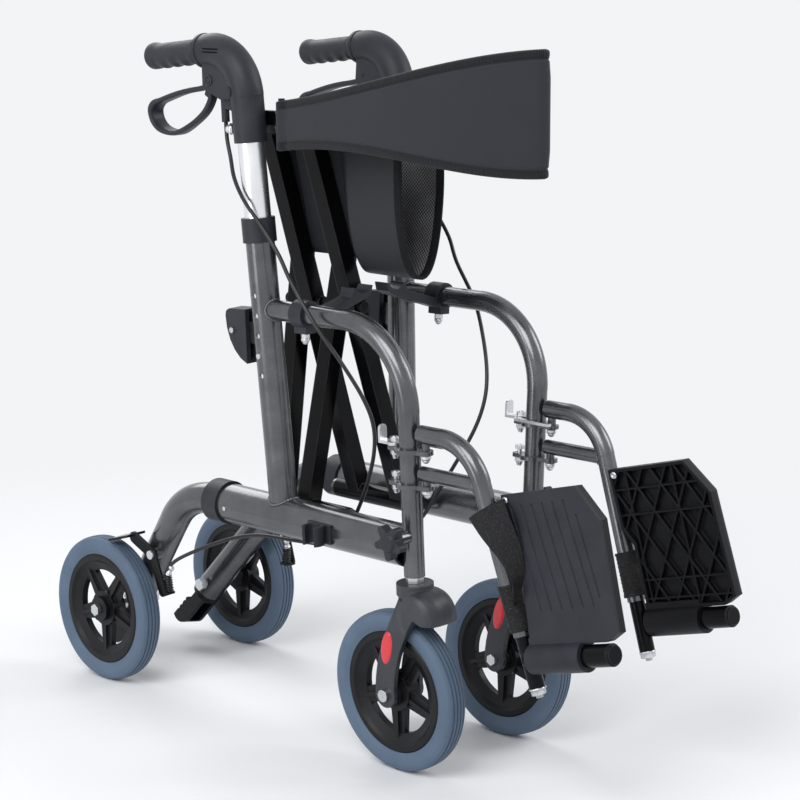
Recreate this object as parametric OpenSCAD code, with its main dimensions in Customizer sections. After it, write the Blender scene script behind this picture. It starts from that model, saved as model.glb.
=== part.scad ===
// Side-folding rollator that also serves as a transport chair, stored folded with its footplates up.
// Forward is -Y, the seated person's left is +X, and the floor is Z = 0.
// f is a distance forward of the rear axle, h a height above the floor,
// u a distance outward from the middle plane of a side frame, which leans out by frame_cant.

/* [Overall] */
// Diameter of all four wheels
wheel_d = 200; // [180:1:220]
// Distance from the rear axle to the front axle
wheel_base = 545; // [520:1:570]
// Half the distance between the side frames at axle height, folded
frame_half = 96; // [92:1:110]
// Outward lean of each side frame
frame_cant = 2.7; // [1.5:0.1:4]

/* [Side frame] */
// Diameter of the lower rail
rail_d = 50; // [44:1:54]
// Wall of the lower rail
rail_wall = 3; // [2:0.5:3.5]
// Height of the lower rail's axis
rail_h = 285; // [275:1:295]
// Where the lower rail starts at the rear
rail_start_f = 222; // [205:1:235]
// Diameter of the upright
upright_d = 36; // [34:0.5:40]
// Wall of the upright
upright_wall = 1.3; // [1:0.1:2]
// Rearward lean of the upright
upright_lean = 3.5; // [2:0.5:6]
// Where the upright stands on the rail
upright_f = 350; // [340:1:356]
// Length of the upright above the rail's axis
upright_len = 370; // [340:1:390]
// Diameter of the arm tube that turns down into the front post
arm_d = 25.4; // [22:0.2:27]
// Wall of the arm tube
arm_wall = 2; // [1.5:0.5:3]
// Height of the arm tube's axis
arm_h = 547.5; // [530:0.5:560]
// Bend radius where the arm turns down
arm_bend = 100; // [80:1:120]
// Where the front post stands
post_f = 578; // [560:1:595]
// Height of the front post's lower end
post_end_h = 250; // [244:1:256]
// Pitch of the handle height holes
hole_pitch = 25; // [20:1:30]

/* [Rear leg] */
// Diameter of the curved rear leg
leg_d = 40; // [38:1:42]
// Slope of the leg's straight run
leg_slope = 50; // [44:1:56]
// Half the distance between the leg ends at the rear axle
leg_half = 71; // [66:1:72]
// Half the track of the rear wheels
rear_half = 121.5; // [120.5:0.1:130]

/* [Folding brace] */
// Half the distance between the two lower brace pivots, folded
pivot_half = 55; // [50:1:58]
// Sideways travel of a side frame from the middle when it unfolds
open_shift = 156; // [150:1:160]
// Height of the open seat tubes above the arm tubes
seat_rise = 30.5; // [26:0.5:34]
// Largest angle of a brace from upright
brace_open = 53.5; // [52:0.5:55]
// Side of the square brace tube
brace_w = 22; // [18:1:23]
// Diameter of the seat tube and of the brace's lower pivot tube
seat_tube_d = 25; // [23:1:27]

/* [Soft parts] */
// Thickness of the seat sling
sling_t = 3; // [2:0.5:4]
// Lowest point of the hanging sling
sling_low_h = 587; // [584:1:594]
// Front edge of the sling
sling_front_f = 490; // [470:1:496]
// Rear edge of the sling
sling_rear_f = 282; // [276:1:300]
// Thickness of the padded back band
band_t = 8; // [6:0.5:10]
// Reach of the back band's fold in front of the rear axle
band_tip_f = 690; // [660:1:700]
// Height of the band at its ends
band_end_h = 61; // [56:1:64]
// Height of the band at its fold
band_tip_h = 147; // [138:1:150]

/* [Handle] */
// Diameter of the sliding handle tube
handle_tube_d = 33; // [32.6:0.1:33.2]
// Diameter of the moulded elbow
elbow_d = 41; // [38:1:43]
// Bend radius of the elbow
elbow_bend = 58; // [54:1:64]
// Diameter of the grip
grip_d = 32; // [29:0.5:34]
// Length of the grip
grip_len = 104; // [95:1:110]

/* [Caster] */
// Tyre width
tyre_w = 31; // [28:0.5:33]
// Radius where the tyre meets the rim
rim_r = 76; // [70:0.5:78]
// Spokes of a wheel
spokes = 5; // [5:1:7]

/* [Footrest] */
// Diameter of the hanger tube
hanger_d = 22; // [20:0.5:23]
// Wall of the hanger tube
hanger_wall = 1.5; // [1.2:0.1:2]
// Height of the hanger's top tube
hanger_h = 425; // [422:1:432]
// Forward lean of the hanger's leg
hanger_lean = 19; // [16:1:22]
// Height of the lower end of the extension tube
extension_end_h = 153; // [145:1:160]
// Width of the footplate along its hinge
plate_w = 150; // [140:1:156]
// Height of the footplate above its hinge, folded up
plate_len = 188; // [170:1:190]
// Upward tilt of the footplate hinge
plate_tilt = 14.5; // [10:0.5:18]
// Inward lean of the folded-up footplate from the side frame
plate_lean = 5.9; // [4:0.1:8]
// Spacing of the grooves in the footplate's tread
groove_pitch = 16.1; // [15:0.1:16.6]
// Thickness of the heel strap
strap_t = 1.6; // [1.2:0.1:2]

/* [Fits] */
// Radial clearance of a turning pin
run_gap = 0.06; // [0.02:0.01:0.1]
// Clearance between neighbouring pieces
fit_gap = 0.3; // [0.2:0.05:0.5]
// Clearance where a piece is clamped or welded to another
seat_gap = 0.05; // [0.03:0.01:0.1]

/* [Hidden] */
$fn = 48;

right = -1;
left = 1;
frame_grey = [0.33, 0.33, 0.35];
silver = [0.75, 0.76, 0.78];
zinc = [0.7, 0.7, 0.72];
black = [0.09, 0.09, 0.1];
cloth = [0.13, 0.13, 0.14];
tyre_blue = [0.38, 0.46, 0.55];

// Height of the wheel axles
axle_h = wheel_d / 2;

// Footplate hinge: where its axis leaves the hanger leg
hinge_f = 758;
hinge_h = 187;
hinge_u = 5;
plate_low = 15;
plate_corner = 24;

// The origin lies under the middle of the folded length
front_reach = hinge_f + plate_w * cos(plate_tilt) - plate_corner * cos(plate_lean) * sin(plate_tilt);
rear_axle_y = (front_reach - axle_h) / 2;

// Scissor brace worked out from the open width and height
open_half = pivot_half + open_shift;
seat_open_h = arm_h + seat_rise;
brace_len = (seat_open_h - rail_h) / cos(brace_open);
cross_at = open_half / sin(brace_open);
brace_rest = asin(pivot_half / cross_at);
seat_half = (brace_len - cross_at) * sin(brace_rest);
seat_tube_h = rail_h + brace_len * cos(brace_rest);
pivot_pin_r = 5;
lug_t = 5;
pivot_rear_f = 279.5;
pivot_front_f = 413;
seat_tube_rear_f = 224;
seat_tube_front_f = sling_front_f - 3;
brace_bolt_r = 4;

// Front arm and rear arm of each brace, each at its lower and upper end
arms_a = [338, 338, 292, 242];
arms_b = [399.5, 341, 318, 268];

// A frame plane's half width at height h
function plane_x(h) = frame_half + (h - axle_h) * tan(frame_cant);

// Places a piece in the leaning plane of one side frame
module side(s) {
    mirror([s < 0 ? 1 : 0, 0, 0])
        translate([frame_half, rear_axle_y, axle_h])
            rotate([0, frame_cant, 0])
                translate([0, 0, -axle_h]) children();
}

// Places a piece square to the floor on one side
module square_side(s) {
    mirror([s < 0 ? 1 : 0, 0, 0]) translate([0, rear_axle_y, 0]) children();
}

module at(f, h, u = 0) translate([u, -f, h]) children();

// Cylinder along the forward axis from f1 to f2
module rod_f(f1, f2, r) translate([0, -f1, 0]) rotate([90, 0, 0]) cylinder(r = r, h = f2 - f1);

// Cylinder across the frame from u1 to u2
module rod_u(u1, u2, r) translate([u1, 0, 0]) rotate([0, 90, 0]) cylinder(r = r, h = u2 - u1);

// Plate of outline points [f, h] from u1 to u2
module side_plate(u1, u2, points) {
    translate([u1, 0, 0]) rotate([90, 0, 90]) linear_extrude(u2 - u1)
        polygon([for (p = points) [-p[0], p[1]]]);
}

// Flat bar with round ends between two [f, h] points, from u1 to u2
module bar(u1, u2, p, q, w) {
    run = norm(q - p);
    translate([u1, -p[0], p[1]]) rotate([90, 0, 90]) linear_extrude(u2 - u1)
        rotate(atan2(q[1] - p[1], p[0] - q[0])) {
            translate([0, -w / 2]) square([run, w]);
            circle(d = w);
            translate([run, 0]) circle(d = w);
        }
}

// Round bar or tube that starts along +Z; a step is ["go", length] or ["turn", radius, degrees],
// where a turn bends towards +Y. A bend swells by bend_swell, as bent tube does, and the straight runs
// reach into it.
joint_in = 2;
bend_swell = 0.25;

module tube_run(r, bore, steps, i = 0) {
    if (i < len(steps)) {
        step = steps[i];
        if (step[0] == "go") {
            back = i > 0 ? joint_in : 0;
            ahead = i < len(steps) - 1 ? joint_in : 0;
            translate([0, 0, -back])
                ring(r, bore, step[1] + back + ahead);
            translate([0, 0, step[1]]) tube_run(r, bore, steps, i + 1);
        } else {
            bend = step[1];
            angle = step[2];
            translate([0, bend, 0]) rotate([90, 0, -90]) rotate_extrude(angle = angle)
                translate([bend, 0]) ring_face(r + bend_swell, bore > 0 ? bore - bend_swell : 0);
            translate([0, bend * (1 - cos(angle)), bend * sin(angle)])
                rotate([-angle, 0, 0]) tube_run(r, bore, steps, i + 1);
        }
    }
}

module ring_face(r, bore) {
    difference() {
        circle(r = r);
        if (bore > 0) circle(r = bore);
    }
}

module ring(r, bore, h) linear_extrude(h) ring_face(r, bore);

// Swept cord of round points with eight sides
function unit(v) = v / norm(v);
function along(p, i) = unit(p[min(i + 1, len(p) - 1)] - p[max(i - 1, 0)]);
function across(t) = unit(cross(t, abs(t[0]) > 0.9 ? [0, 1, 0] : [1, 0, 0]));
function smooth_at(p, i, t) =
    let (a = p[max(i - 1, 0)], b = p[i], c = p[i + 1], d = p[min(i + 2, len(p) - 1)])
    0.5 * (2 * b + (c - a) * t + (2 * a - 5 * b + 4 * c - d) * t * t + (3 * b - a - 3 * c + d) * t * t * t);
function smooth(p, n) = concat(
    [for (i = [0:len(p) - 2]) for (k = [0:n - 1]) smooth_at(p, i, k / n)], [p[len(p) - 1]]);

module cord(points, d, sides = 8) {
    rings = len(points);
    verts = [for (i = [0:rings - 1])
        let (t = along(points, i), n = across(t), b = cross(t, n))
        for (k = [0:sides - 1]) points[i] + d / 2 * (cos(360 * k / sides) * n + sin(360 * k / sides) * b)];
    walls = [for (i = [0:rings - 2]) for (k = [0:sides - 1])
        let (j = (k + 1) % sides)
        each [[i * sides + k, (i + 1) * sides + j, i * sides + j],
              [i * sides + k, (i + 1) * sides + k, (i + 1) * sides + j]]];
    caps = [for (k = [1:sides - 2])
        each [[0, k, k + 1],
              [(rings - 1) * sides, (rings - 1) * sides + k + 1, (rings - 1) * sides + k]]];
    polyhedron(verts, concat(walls, caps));
}

// Smooth curve through four control points
function curve(a, b, c, d, n) = [for (i = [0:n]) let (t = i / n, s = 1 - t)
    s * s * s * a + 3 * s * s * t * b + 3 * s * t * t * c + t * t * t * d];

// Frame along the upright, with Z up its axis from the rail
module on_upright() at(upright_f, rail_h) rotate([-upright_lean, 0, 0]) children();

elbow_turn = 91.5;
housing_foot = 468;
elbow_start = 524;

// Frame at the end of the elbow, with Z along the grip
module on_grip() {
    on_upright()
        translate([0, elbow_bend * (1 - cos(elbow_turn)), elbow_start + elbow_bend * sin(elbow_turn)])
            rotate([-elbow_turn, 0, 0]) children();
}

// Brace pivot lugs, rod and tube stand square to the floor
module brace_lugs() {
    for (f = [pivot_rear_f - 0.5 - lug_t, pivot_front_f + 0.5])
        at(f, rail_h) rotate([90, 0, 0]) linear_extrude(lug_t) {
            translate([pivot_half, 0]) circle(r = 11);
            translate([pivot_half, -11])
                square([plane_x(rail_h) - rail_d / 2 - pivot_half + rail_wall, 22]);
        }
    at(0, rail_h, pivot_half) rod_f(pivot_rear_f - lug_t - 4, pivot_front_f + lug_t + 4, pivot_pin_r);
}

// Height lever pivot behind the upright
lever_f = 282;
lever_h = 517;
lever_pin_r = 3;
lever_lug_w = 8;
lever_front = 306;
lever_bow = [318, 534];
holes_top = 281;

module side_frame(s) {
    bore = upright_d / 2 - upright_wall;
    color(frame_grey) difference() {
        union() {
            side(s) {
                at(0, rail_h) rod_f(rail_start_f, post_f - 10, rail_d / 2);
                on_upright() cylinder(d = upright_d, h = upright_len);
                side_plate(-lever_lug_w / 2, lever_lug_w / 2,
                    [[lever_f - 4, lever_h + 9], [lever_f - 9, lever_h + 4], [lever_f - 9, lever_h - 4],
                     [lever_f - 4, lever_h - 9], [lever_f + 50, lever_h - 20],
                     [lever_f + 50, lever_h + 14]]);
            }
            square_side(s) brace_lugs();
        }
        side(s) {
            at(0, rail_h) rod_f(rail_start_f - 1, post_f, rail_d / 2 - rail_wall);
            on_upright() translate([0, 0, rail_d / 2 + 2]) cylinder(r = bore, h = upright_len);
            at(post_f, rail_h - rail_d) cylinder(d = arm_d + 2 * seat_gap, h = 2 * rail_d);
            at(lever_f, lever_h) rod_u(-lever_lug_w, lever_lug_w, lever_pin_r + run_gap);
            for (i = [0:4]) on_upright() translate([0, 0, holes_top - i * hole_pitch])
                rod_u(bore - 4, upright_d, 3.5);
            at(rail_start_f + 40, rail_h) rod_u(rail_d / 2 - 5, rail_d, 3);
        }
    }
}

// Arm tube, its bend and the front post, with a plug that carries the caster stem
stem_r = 6;
plug_len = 42;
knob_h = 300;
knob_stud_r = 4;
boss_out = rail_d / 2 + 1.2;

module arm_tube(s) {
    run = post_f - arm_bend;
    start = upright_f - tan(upright_lean) * (arm_h - rail_h);
    color(frame_grey) side(s) difference() {
        union() {
            at(start, arm_h) rotate([90, 0, 0]) rotate([0, 0, 180])
                tube_run(arm_d / 2, arm_d / 2 - arm_wall,
                    [["go", run - start], ["turn", arm_bend, 90], ["go", arm_h - arm_bend - post_end_h]]);
            at(post_f, post_end_h) cylinder(d = arm_d - 1, h = plug_len);
            at(post_f, knob_h) rod_u(arm_d / 2 - 3, boss_out, 8);
        }
        on_upright() cylinder(d = upright_d + 2 * seat_gap, h = upright_len);
        at(post_f, post_end_h - 1) cylinder(r = stem_r + run_gap, h = plug_len + 2);
        at(post_f, knob_h) rod_u(arm_d / 2 - 6, boss_out + 1, knob_stud_r + run_gap);
    }
}

// Curved rear leg that plugs into the rail and ends past the axle
leg_cant = atan((plane_x(rail_h) - leg_half) / (rail_h - axle_h));
leg_drop = (rail_h - axle_h) / cos(leg_cant);
leg_turn_f = 215;
leg_bend = (leg_turn_f * tan(leg_slope) - leg_drop)
    / (tan(leg_slope) * sin(leg_slope) - 1 + cos(leg_slope));
leg_run = (leg_drop - leg_bend * (1 - cos(leg_slope))) / sin(leg_slope);
leg_plug = 40;
leg_past = 20;
leg_wall = 2.5;
axle_r = 5;

// Brake arm's bolt on the leg
brake_f = 96;
brake_h = 192;
brake_u = 15;
brake_bolt_r = 3;

// Frame on the rail's axis whose Z falls along the leg's own plane
module on_leg(s) {
    square_side(s) translate([plane_x(rail_h), 0, rail_h]) rotate([0, leg_cant, 0]) children();
}

// Frame at the rear axle with Z along the leg's straight run
module on_leg_end(s) {
    on_leg(s) translate([0, 0, -leg_drop]) rotate([-90 - leg_slope, 0, 0]) children();
}

module rear_leg(s) {
    color(frame_grey) difference() {
        union() {
            on_leg(s) translate([0, -rail_start_f - leg_plug, 0]) rotate([-90, 0, 0])
                tube_run(leg_d / 2, leg_d / 2 - leg_wall,
                    [["go", rail_start_f + leg_plug - leg_turn_f], ["turn", leg_bend, leg_slope],
                     ["go", leg_run + leg_past]]);
            side(s) at(brake_f, brake_h) rod_u(4, brake_u - fit_gap, 8);
        }
        side(s) at(brake_f, brake_h) rod_u(3, brake_u + 1, brake_bolt_r + seat_gap);
        square_side(s) at(0, axle_h) rod_u(leg_half - leg_d, leg_half + leg_d, axle_r + seat_gap);
    }
}

// Black mouldings on the frame: rail collar, upright collar, seat tube rest and, on the right, a cane clip
collar_t = 3;
rest_f = 404;
rest_w = 22;
cane_r = 10;
cane_f = 444;

module rail_collar() {
    at(0, rail_h) difference() {
        rod_f(rail_start_f - 4, rail_start_f + 24, rail_d / 2 + collar_t);
        rod_f(rail_start_f - 0.2, rail_start_f + 29, rail_d / 2 + seat_gap);
        rod_f(rail_start_f - 7, rail_start_f + 1, leg_d / 2 + bend_swell + fit_gap);
    }
}

module upright_collar() {
    on_upright() difference() {
        translate([0, 0, upright_len - 24]) cylinder(r = upright_d / 2 + collar_t, h = 30);
        translate([0, 0, upright_len - 25]) cylinder(r = upright_d / 2 + seat_gap, h = 25.2);
        translate([0, 0, upright_len - 1]) cylinder(r = handle_tube_d / 2 + run_gap, h = 10);
    }
}

// Where a seat tube lands, as [u, h] in the side frame
land_x = (brace_len - cross_at) * sin(brace_open) - open_shift;
land_u = (land_x - frame_half) * cos(frame_cant) - (seat_open_h - axle_h) * sin(frame_cant);
land_h = axle_h + (land_x - frame_half) * sin(frame_cant) + (seat_open_h - axle_h) * cos(frame_cant);

module seat_rest() {
    clamp_r = arm_d / 2 + 4.5;
    cup_r = seat_tube_d / 2 + fit_gap + 0.6;
    difference() {
        at(rest_f - rest_w / 2, 0) rotate([90, 0, 0]) linear_extrude(rest_w) difference() {
            union() {
                translate([0, arm_h]) circle(r = clamp_r);
                polygon([[0, arm_h - clamp_r], [0, arm_h - clamp_r + 12],
                    [land_u + cup_r + 6, land_h - cup_r - 2], [land_u + cup_r + 3, land_h - 5],
                    [land_u - cup_r - 3, land_h - 5],
                    [land_u - cup_r, land_h - cup_r - 2], [land_u - 4, land_h - cup_r - 7]]);
                translate([-8, arm_h - clamp_r - 6]) square([16, 10]);
            }
            translate([0, arm_h]) circle(r = arm_d / 2 + seat_gap);
            translate([land_u, land_h]) circle(r = cup_r);
        }
        at(rest_f, arm_h - clamp_r - 7) cylinder(r = 3 + seat_gap, h = 12);
    }
}

module cane_clip() {
    base_u = rail_d / 2 + seat_gap;
    at(cane_f, rail_h - 12, base_u + 3 + cane_r) linear_extrude(24) difference() {
        union() {
            circle(r = cane_r + 3.5);
            translate([-cane_r - 8, -18]) square([7, 40]);
        }
        circle(r = cane_r);
        rotate(-42) square([30, 30]);
        rotate(-48) square([30, 30]);
    }
}

module frame_fittings(s) {
    color(black) side(s) {
        rail_collar();
        upright_collar();
        seat_rest();
        if (s == right) difference() {
            cane_clip();
            at(0, rail_h) rod_f(cane_f - 40, cane_f + 40, rail_d / 2 + seat_gap);
        }
    }
}

// Two clamps round the front post whose front lugs carry the hanger's spindle
clamp_levels = [hanger_h - 21, hanger_h - 63];
clamp_t = 5;
spindle_f = post_f + 26;
spindle_r = 5;
latch_f = post_f - 25;

module hanger_clamps(s) {
    color(frame_grey) side(s) for (h = clamp_levels) at(0, h - clamp_t / 2) linear_extrude(clamp_t)
        difference() {
            union() {
                translate([0, -post_f]) circle(r = arm_d / 2 + 6);
                translate([-9, -spindle_f]) square([18, spindle_f - latch_f]);
                translate([0, -spindle_f]) circle(r = 9);
                translate([0, -latch_f]) circle(r = 9);
            }
            translate([0, -post_f]) circle(r = arm_d / 2 + seat_gap);
            translate([0, -spindle_f]) circle(r = spindle_r + run_gap);
            translate([0, -latch_f]) circle(r = 3 + seat_gap);
            translate([-1, -post_f + 8]) square([2, 30]);
        }
}

// Step pedal that plugs the leg's end, for tipping the chair over a kerb
module kerb_pedal(s) {
    color(black) on_leg_end(s) mirror([0, 1, 0]) difference() {
        union() {
            translate([0, 0, leg_past + seat_gap]) cylinder(d = leg_d, h = 8);
            translate([0, 0, leg_past - 6]) cylinder(r = leg_d / 2 - leg_wall - seat_gap, h = 10);
            translate([-15, -14, leg_past + 6]) cube([30, 20, 44]);
            translate([-15, 6, leg_past + 50]) rotate([0, 90, 0]) cylinder(r = 20, h = 30);
        }
        translate([-16, 12, leg_past + 14]) cube([32, 30, 80]);
        for (k = [0:3]) translate([-16, 10.6, leg_past + 26 + 9 * k]) cube([32, 3, 4]);
        translate([-9, -20, leg_past + 14]) cube([18, 24, 42]);
    }
}

// Zinc bolts, pins and rivets of one side frame, with the rear axle
module frame_bolts(s) {
    color(zinc) {
        square_side(s) at(0, axle_h) {
            rod_u(leg_half - leg_d / 2 - 10, rear_half + 20, axle_r);
            rod_u(leg_half - leg_d / 2 - 12, leg_half - leg_d / 2 - 4, 9, $fn = 6);
            rod_u(rear_half + tyre_w / 2 + 2.3, rear_half + 24, 8.5, $fn = 6);
            rod_u(leg_half + leg_d / 2 + 2.4, rear_half - tyre_w / 2 - 1.8, 8);
        }
        side(s) {
            for (h = clamp_levels) at(latch_f, h) {
                translate([0, 0, -14]) cylinder(r = 3, h = 27);
                translate([0, 0, -clamp_t / 2 - 6]) cylinder(r = 6, h = 6 - fit_gap, $fn = 6);
                translate([0, 0, -clamp_t / 2 - 10]) cylinder(r1 = 3.4, r2 = 5.2, h = 4);
                translate([0, 0, clamp_t / 2 + 4 + 2 * fit_gap]) cylinder(r = 6, h = 5, $fn = 6);
            }
            at(lever_f, lever_h) rod_u(-13.5, 13.5, lever_pin_r);
            at(lever_f, lever_h) rod_u(12.5, 15, 3.6);
            at(brake_f, brake_h) {
                rod_u(4.5, brake_u + 8, brake_bolt_r);
                rod_u(brake_u + 4 + fit_gap, brake_u + 8, 6);
            }
            on_upright() translate([0, 0, holes_top - 3 * hole_pitch])
                rod_u(handle_tube_d / 2 + 0.1, upright_d / 2 + 2.5, 3.4);
            at(rail_start_f + 40, rail_h) rod_u(rail_d / 2 - 2, rail_d / 2 + 1.5, 2.9);
            at(rest_f, arm_h - arm_d / 2 - 4.5 - 12) cylinder(r = 5.5, h = 5.5, $fn = 6);
            at(rest_f, arm_h - arm_d / 2 - 4.5 - 8) cylinder(r = 3, h = 11);
        }
    }
}

// Brake cable from the handle to the brake, as [u, f, h] points of one side
cable_d = 5;
cable_route = [
    [0, 276, 774.5], [0, 276, 768], [1, 278, 752], [4, 286, 732], [14, 303, 708], [23.5, 331, 683],
    [26, 366, 652], [26, 392, 622], [24, 410, 590], [22, 446, 543], [9, 476, 497], [-4, 496, 456],
    [-14, 502, 422], [-22, 494, 386], [-30, 472, 342], [-35, 446, 300], [-36, 418, 261], [-35, 380, 246],
    [-34, 330, 241], [-33, 260, 236], [-31, 204, 222], [-20, 150, 200], [-2, 122, 184], [8, 114, 171],
    [8, 114, 163]
];
boot_len = 20;

module brake_cable(s) {
    color(black) side(s) {
        cord(smooth([for (p = cable_route) [p[0], -p[1], p[2]]], 3), cable_d);
        end = cable_route[len(cable_route) - 1];
        at(end[1], end[2] - boot_len - 0.2, end[0]) rotate_extrude()
            polygon(concat([[0, 0]], [for (i = [0:10]) [i % 2 == 0 ? 4 : 6.5, boot_len * i / 10]],
                [[0, boot_len]]));
    }
}

// Steel brake arm: a strip that turns on a bolt in front of the tyre and lays a flap on the tread
brake_t = 4;

module brake_arm(s) {
    color(black) side(s) difference() {
        union() {
            bar(brake_u, brake_u + brake_t, [brake_f, brake_h], [58, 209], 16);
            bar(brake_u, brake_u + brake_t, [brake_f, brake_h], [113, 143], 14);
            side_plate(2, brake_u + brake_t, [[120, 141.5], [107, 141.5], [107, 138.5], [120, 138.5]]);
            side_plate(3, 34, [[64, 216.5], [64, 213], [22, 200.8], [22, 204.3]]);
        }
        at(brake_f, brake_h) rod_u(brake_u - 1, brake_u + 6, brake_bolt_r + run_gap);
    }
}

// Silver handle tube that slides in the upright
tube_foot = 150;
socket = 16;

module handle_tube(s) {
    color(silver) side(s) on_upright() translate([0, 0, tube_foot])
        ring(handle_tube_d / 2, handle_tube_d / 2 - 2, housing_foot + socket - tube_foot);
}

// Moulded elbow with the brake lever's cheeks, the cable stop and the boss of the back band's arm
brake_pivot = [261, 826];
band_pivot = [308, 780];
band_pin_r = 5;
band_bar_in = 94;
band_bar_t = 12;
boss_start = band_bar_in + band_bar_t + fit_gap;
stop_f = 276;
stop_h = 775;
flange_at = 10;

module handle_housing(s) {
    cheek = [[312, 806], [300, 832], [280, 850], [250, 848], [249, 817], [262, 811], [282, 803]];
    color(black) difference() {
        union() {
            side(s) {
                on_upright() translate([0, 0, housing_foot]) tube_run(elbow_d / 2, 0,
                    [["go", elbow_start - housing_foot], ["turn", elbow_bend, elbow_turn],
                     ["go", flange_at]]);
                on_grip() translate([0, 0, flange_at - 1]) cylinder(d = elbow_d + 2, h = 5);
                on_grip() translate([0, 0, flange_at]) cylinder(r = 10, h = grip_len - 4);
                side_plate(8, 12, cheek);
                side_plate(-12, -8, cheek);
                at(brake_pivot[0], brake_pivot[1]) rod_u(-13, 13, 3);
                at(stop_f, stop_h) cylinder(r = 5, h = 36);
                side_plate(-5, 5, [[stop_f, 806], [stop_f, 792], [304, 788], [306, 806]]);
            }
            square_side(s) at(band_pivot[0], band_pivot[1]) rod_u(boss_start, boss_start + 17, 12);
        }
        side(s) on_upright() translate([0, 0, housing_foot - 1])
            cylinder(d = handle_tube_d + 2 * seat_gap, h = socket + 1 + seat_gap);
        square_side(s) at(band_pivot[0], band_pivot[1])
            rod_u(boss_start - 2, boss_start + 13, band_pin_r + run_gap);
    }
}

// Ribbed grip with a domed end
module grip(s) {
    ribs = 15;
    rib_pitch = (grip_len - 14) / ribs;
    color(black) side(s) on_grip() translate([0, 0, flange_at + 4 + fit_gap]) difference() {
        rotate_extrude() polygon(concat([[0, 0]],
            [for (i = [0:ribs - 1]) each [[grip_d / 2, i * rib_pitch], [grip_d / 2, (i + 0.7) * rib_pitch],
                [grip_d / 2 - 0.9, (i + 0.76) * rib_pitch], [grip_d / 2 - 0.9, (i + 0.94) * rib_pitch]]],
            [[grip_d / 2 + 1.5, grip_len - 13], [grip_d / 2 + 1.5, grip_len - 5],
             [grip_d / 2 - 1, grip_len - 1], [grip_d / 2 - 6, grip_len], [0, grip_len]]));
        translate([0, 0, -1]) cylinder(r = 10 + seat_gap, h = grip_len - 8 + 1 + seat_gap);
    }
}

// Loop-shaped brake lever under the grip
lever_loop = [brake_pivot, [204, 811], [143, 794], [138, 780], [156, 761], [188, 759.5], [246, 790]];

module brake_lever(s) {
    color(black) side(s) difference() {
        union() {
            for (i = [0:6]) bar(-7.5, 7.5, lever_loop[i], lever_loop[(i + 1) % 7], 8);
            for (i = [1:4]) bar(-11, 11, lever_loop[i], lever_loop[i + 1], 6.6);
            at(brake_pivot[0], brake_pivot[1]) rod_u(-8 + fit_gap, 8 - fit_gap, 10);
        }
        at(brake_pivot[0], brake_pivot[1]) rod_u(-9, 9, 3 + run_gap);
    }
}

// Squeeze lever behind the upright that frees the handle tube's catch
module height_lever(s) {
    inner = lever_lug_w / 2 + fit_gap;
    brow = [[lever_front, 545], [275, 543.5], [269.5, 540]];
    function heel(t, wall) = [lever_bow[0] - (50 - wall) * cos(t), lever_bow[1] - (60 - wall) * sin(t)];
    color(black) side(s) difference() {
        union() {
            for (u = [-11, inner])
                side_plate(u, u + 11 - inner, concat(brow, [for (t = [0:15:75]) heel(t, 0)]));
            side_plate(-11, 11, concat([for (t = [30:15:75]) heel(t, 0)],
                [for (t = [75:-15:30]) heel(t, 3)]));
            side_plate(-11, 11, concat(brow, [heel(0, 0), [271.5, 534], [273, 538], [277, 540],
                [lever_front, 541.5]]));
        }
        at(lever_f, lever_h) rod_u(-12, 12, lever_pin_r + run_gap);
    }
}

// Star knob at the foot of the front post
module star_knob(s) {
    color(black) side(s) at(post_f, knob_h) {
        rod_u(8, boss_out + 4, knob_stud_r);
        translate([boss_out + fit_gap, 0, 0]) rotate([0, 90, 0]) {
            cylinder(r = 11, h = 6);
            translate([0, 0, 5]) linear_extrude(12) {
                circle(r = 12.5);
                for (k = [0:4]) rotate(72 * k) {
                    polygon([[0, -8.5], [17.5, -4.6], [17.5, 4.6], [0, 8.5]]);
                    translate([17.4, 0]) circle(r = 4.6);
                }
            }
            translate([0, 0, 17]) cylinder(r1 = 12, r2 = 10, h = 2.5);
        }
    }
}

// Wheel pieces, turned about X at the origin
module tyre() {
    r = wheel_d / 2;
    half = tyre_w / 2;
    inner = rim_r + seat_gap;
    wall = [[inner, half - 4], [inner + 6, half - 1.3], [inner + 11, half - 0.3], [inner + 14, half],
            [r - 7, half - 0.5], [r - 3.5, half - 2], [r - 1.5, half - 4.5], [r - 0.4, half - 8]];
    crown = [[r, 3], [r, -3]];
    points = concat(wall, crown, [for (i = [len(wall) - 1:-1:0]) [wall[i][0], -wall[i][1]]]);
    rotate([0, 90, 0]) rotate_extrude($fn = 96) difference() {
        polygon(points);
        for (x = [-8, -2.7, 2.7, 8]) translate([r - 1.6, x - 0.8]) square([3, 1.6]);
    }
}

module rim(bore, hub_half) {
    rotate([0, 90, 0]) difference() {
        union() {
            rotate_extrude($fn = 96) polygon([[rim_r, -11], [rim_r, 11], [rim_r - 2, 12.5],
                [rim_r - 8, 12.5], [rim_r - 12, 9], [rim_r - 23, 4.5], [rim_r - 23, -4.5],
                [rim_r - 12, -9], [rim_r - 8, -12.5], [rim_r - 2, -12.5]]);
            translate([0, 0, -hub_half]) cylinder(r = 17, h = 2 * hub_half);
            translate([0, 0, -9]) cylinder(r = 24, h = 18);
            for (k = [0:spokes - 1]) rotate(360 / spokes * k) {
                translate([0, 0, -4]) linear_extrude(8)
                    polygon([[12, -13], [rim_r - 7, -8], [rim_r - 7, 8], [12, 13]]);
                translate([14, -2.5, -7.5]) cube([rim_r - 21, 5, 15]);
            }
        }
        translate([0, 0, -hub_half - 1]) cylinder(r = bore, h = 2 * hub_half + 2);
    }
}

hub_half = 17;
front_bolt_r = 4;

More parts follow.
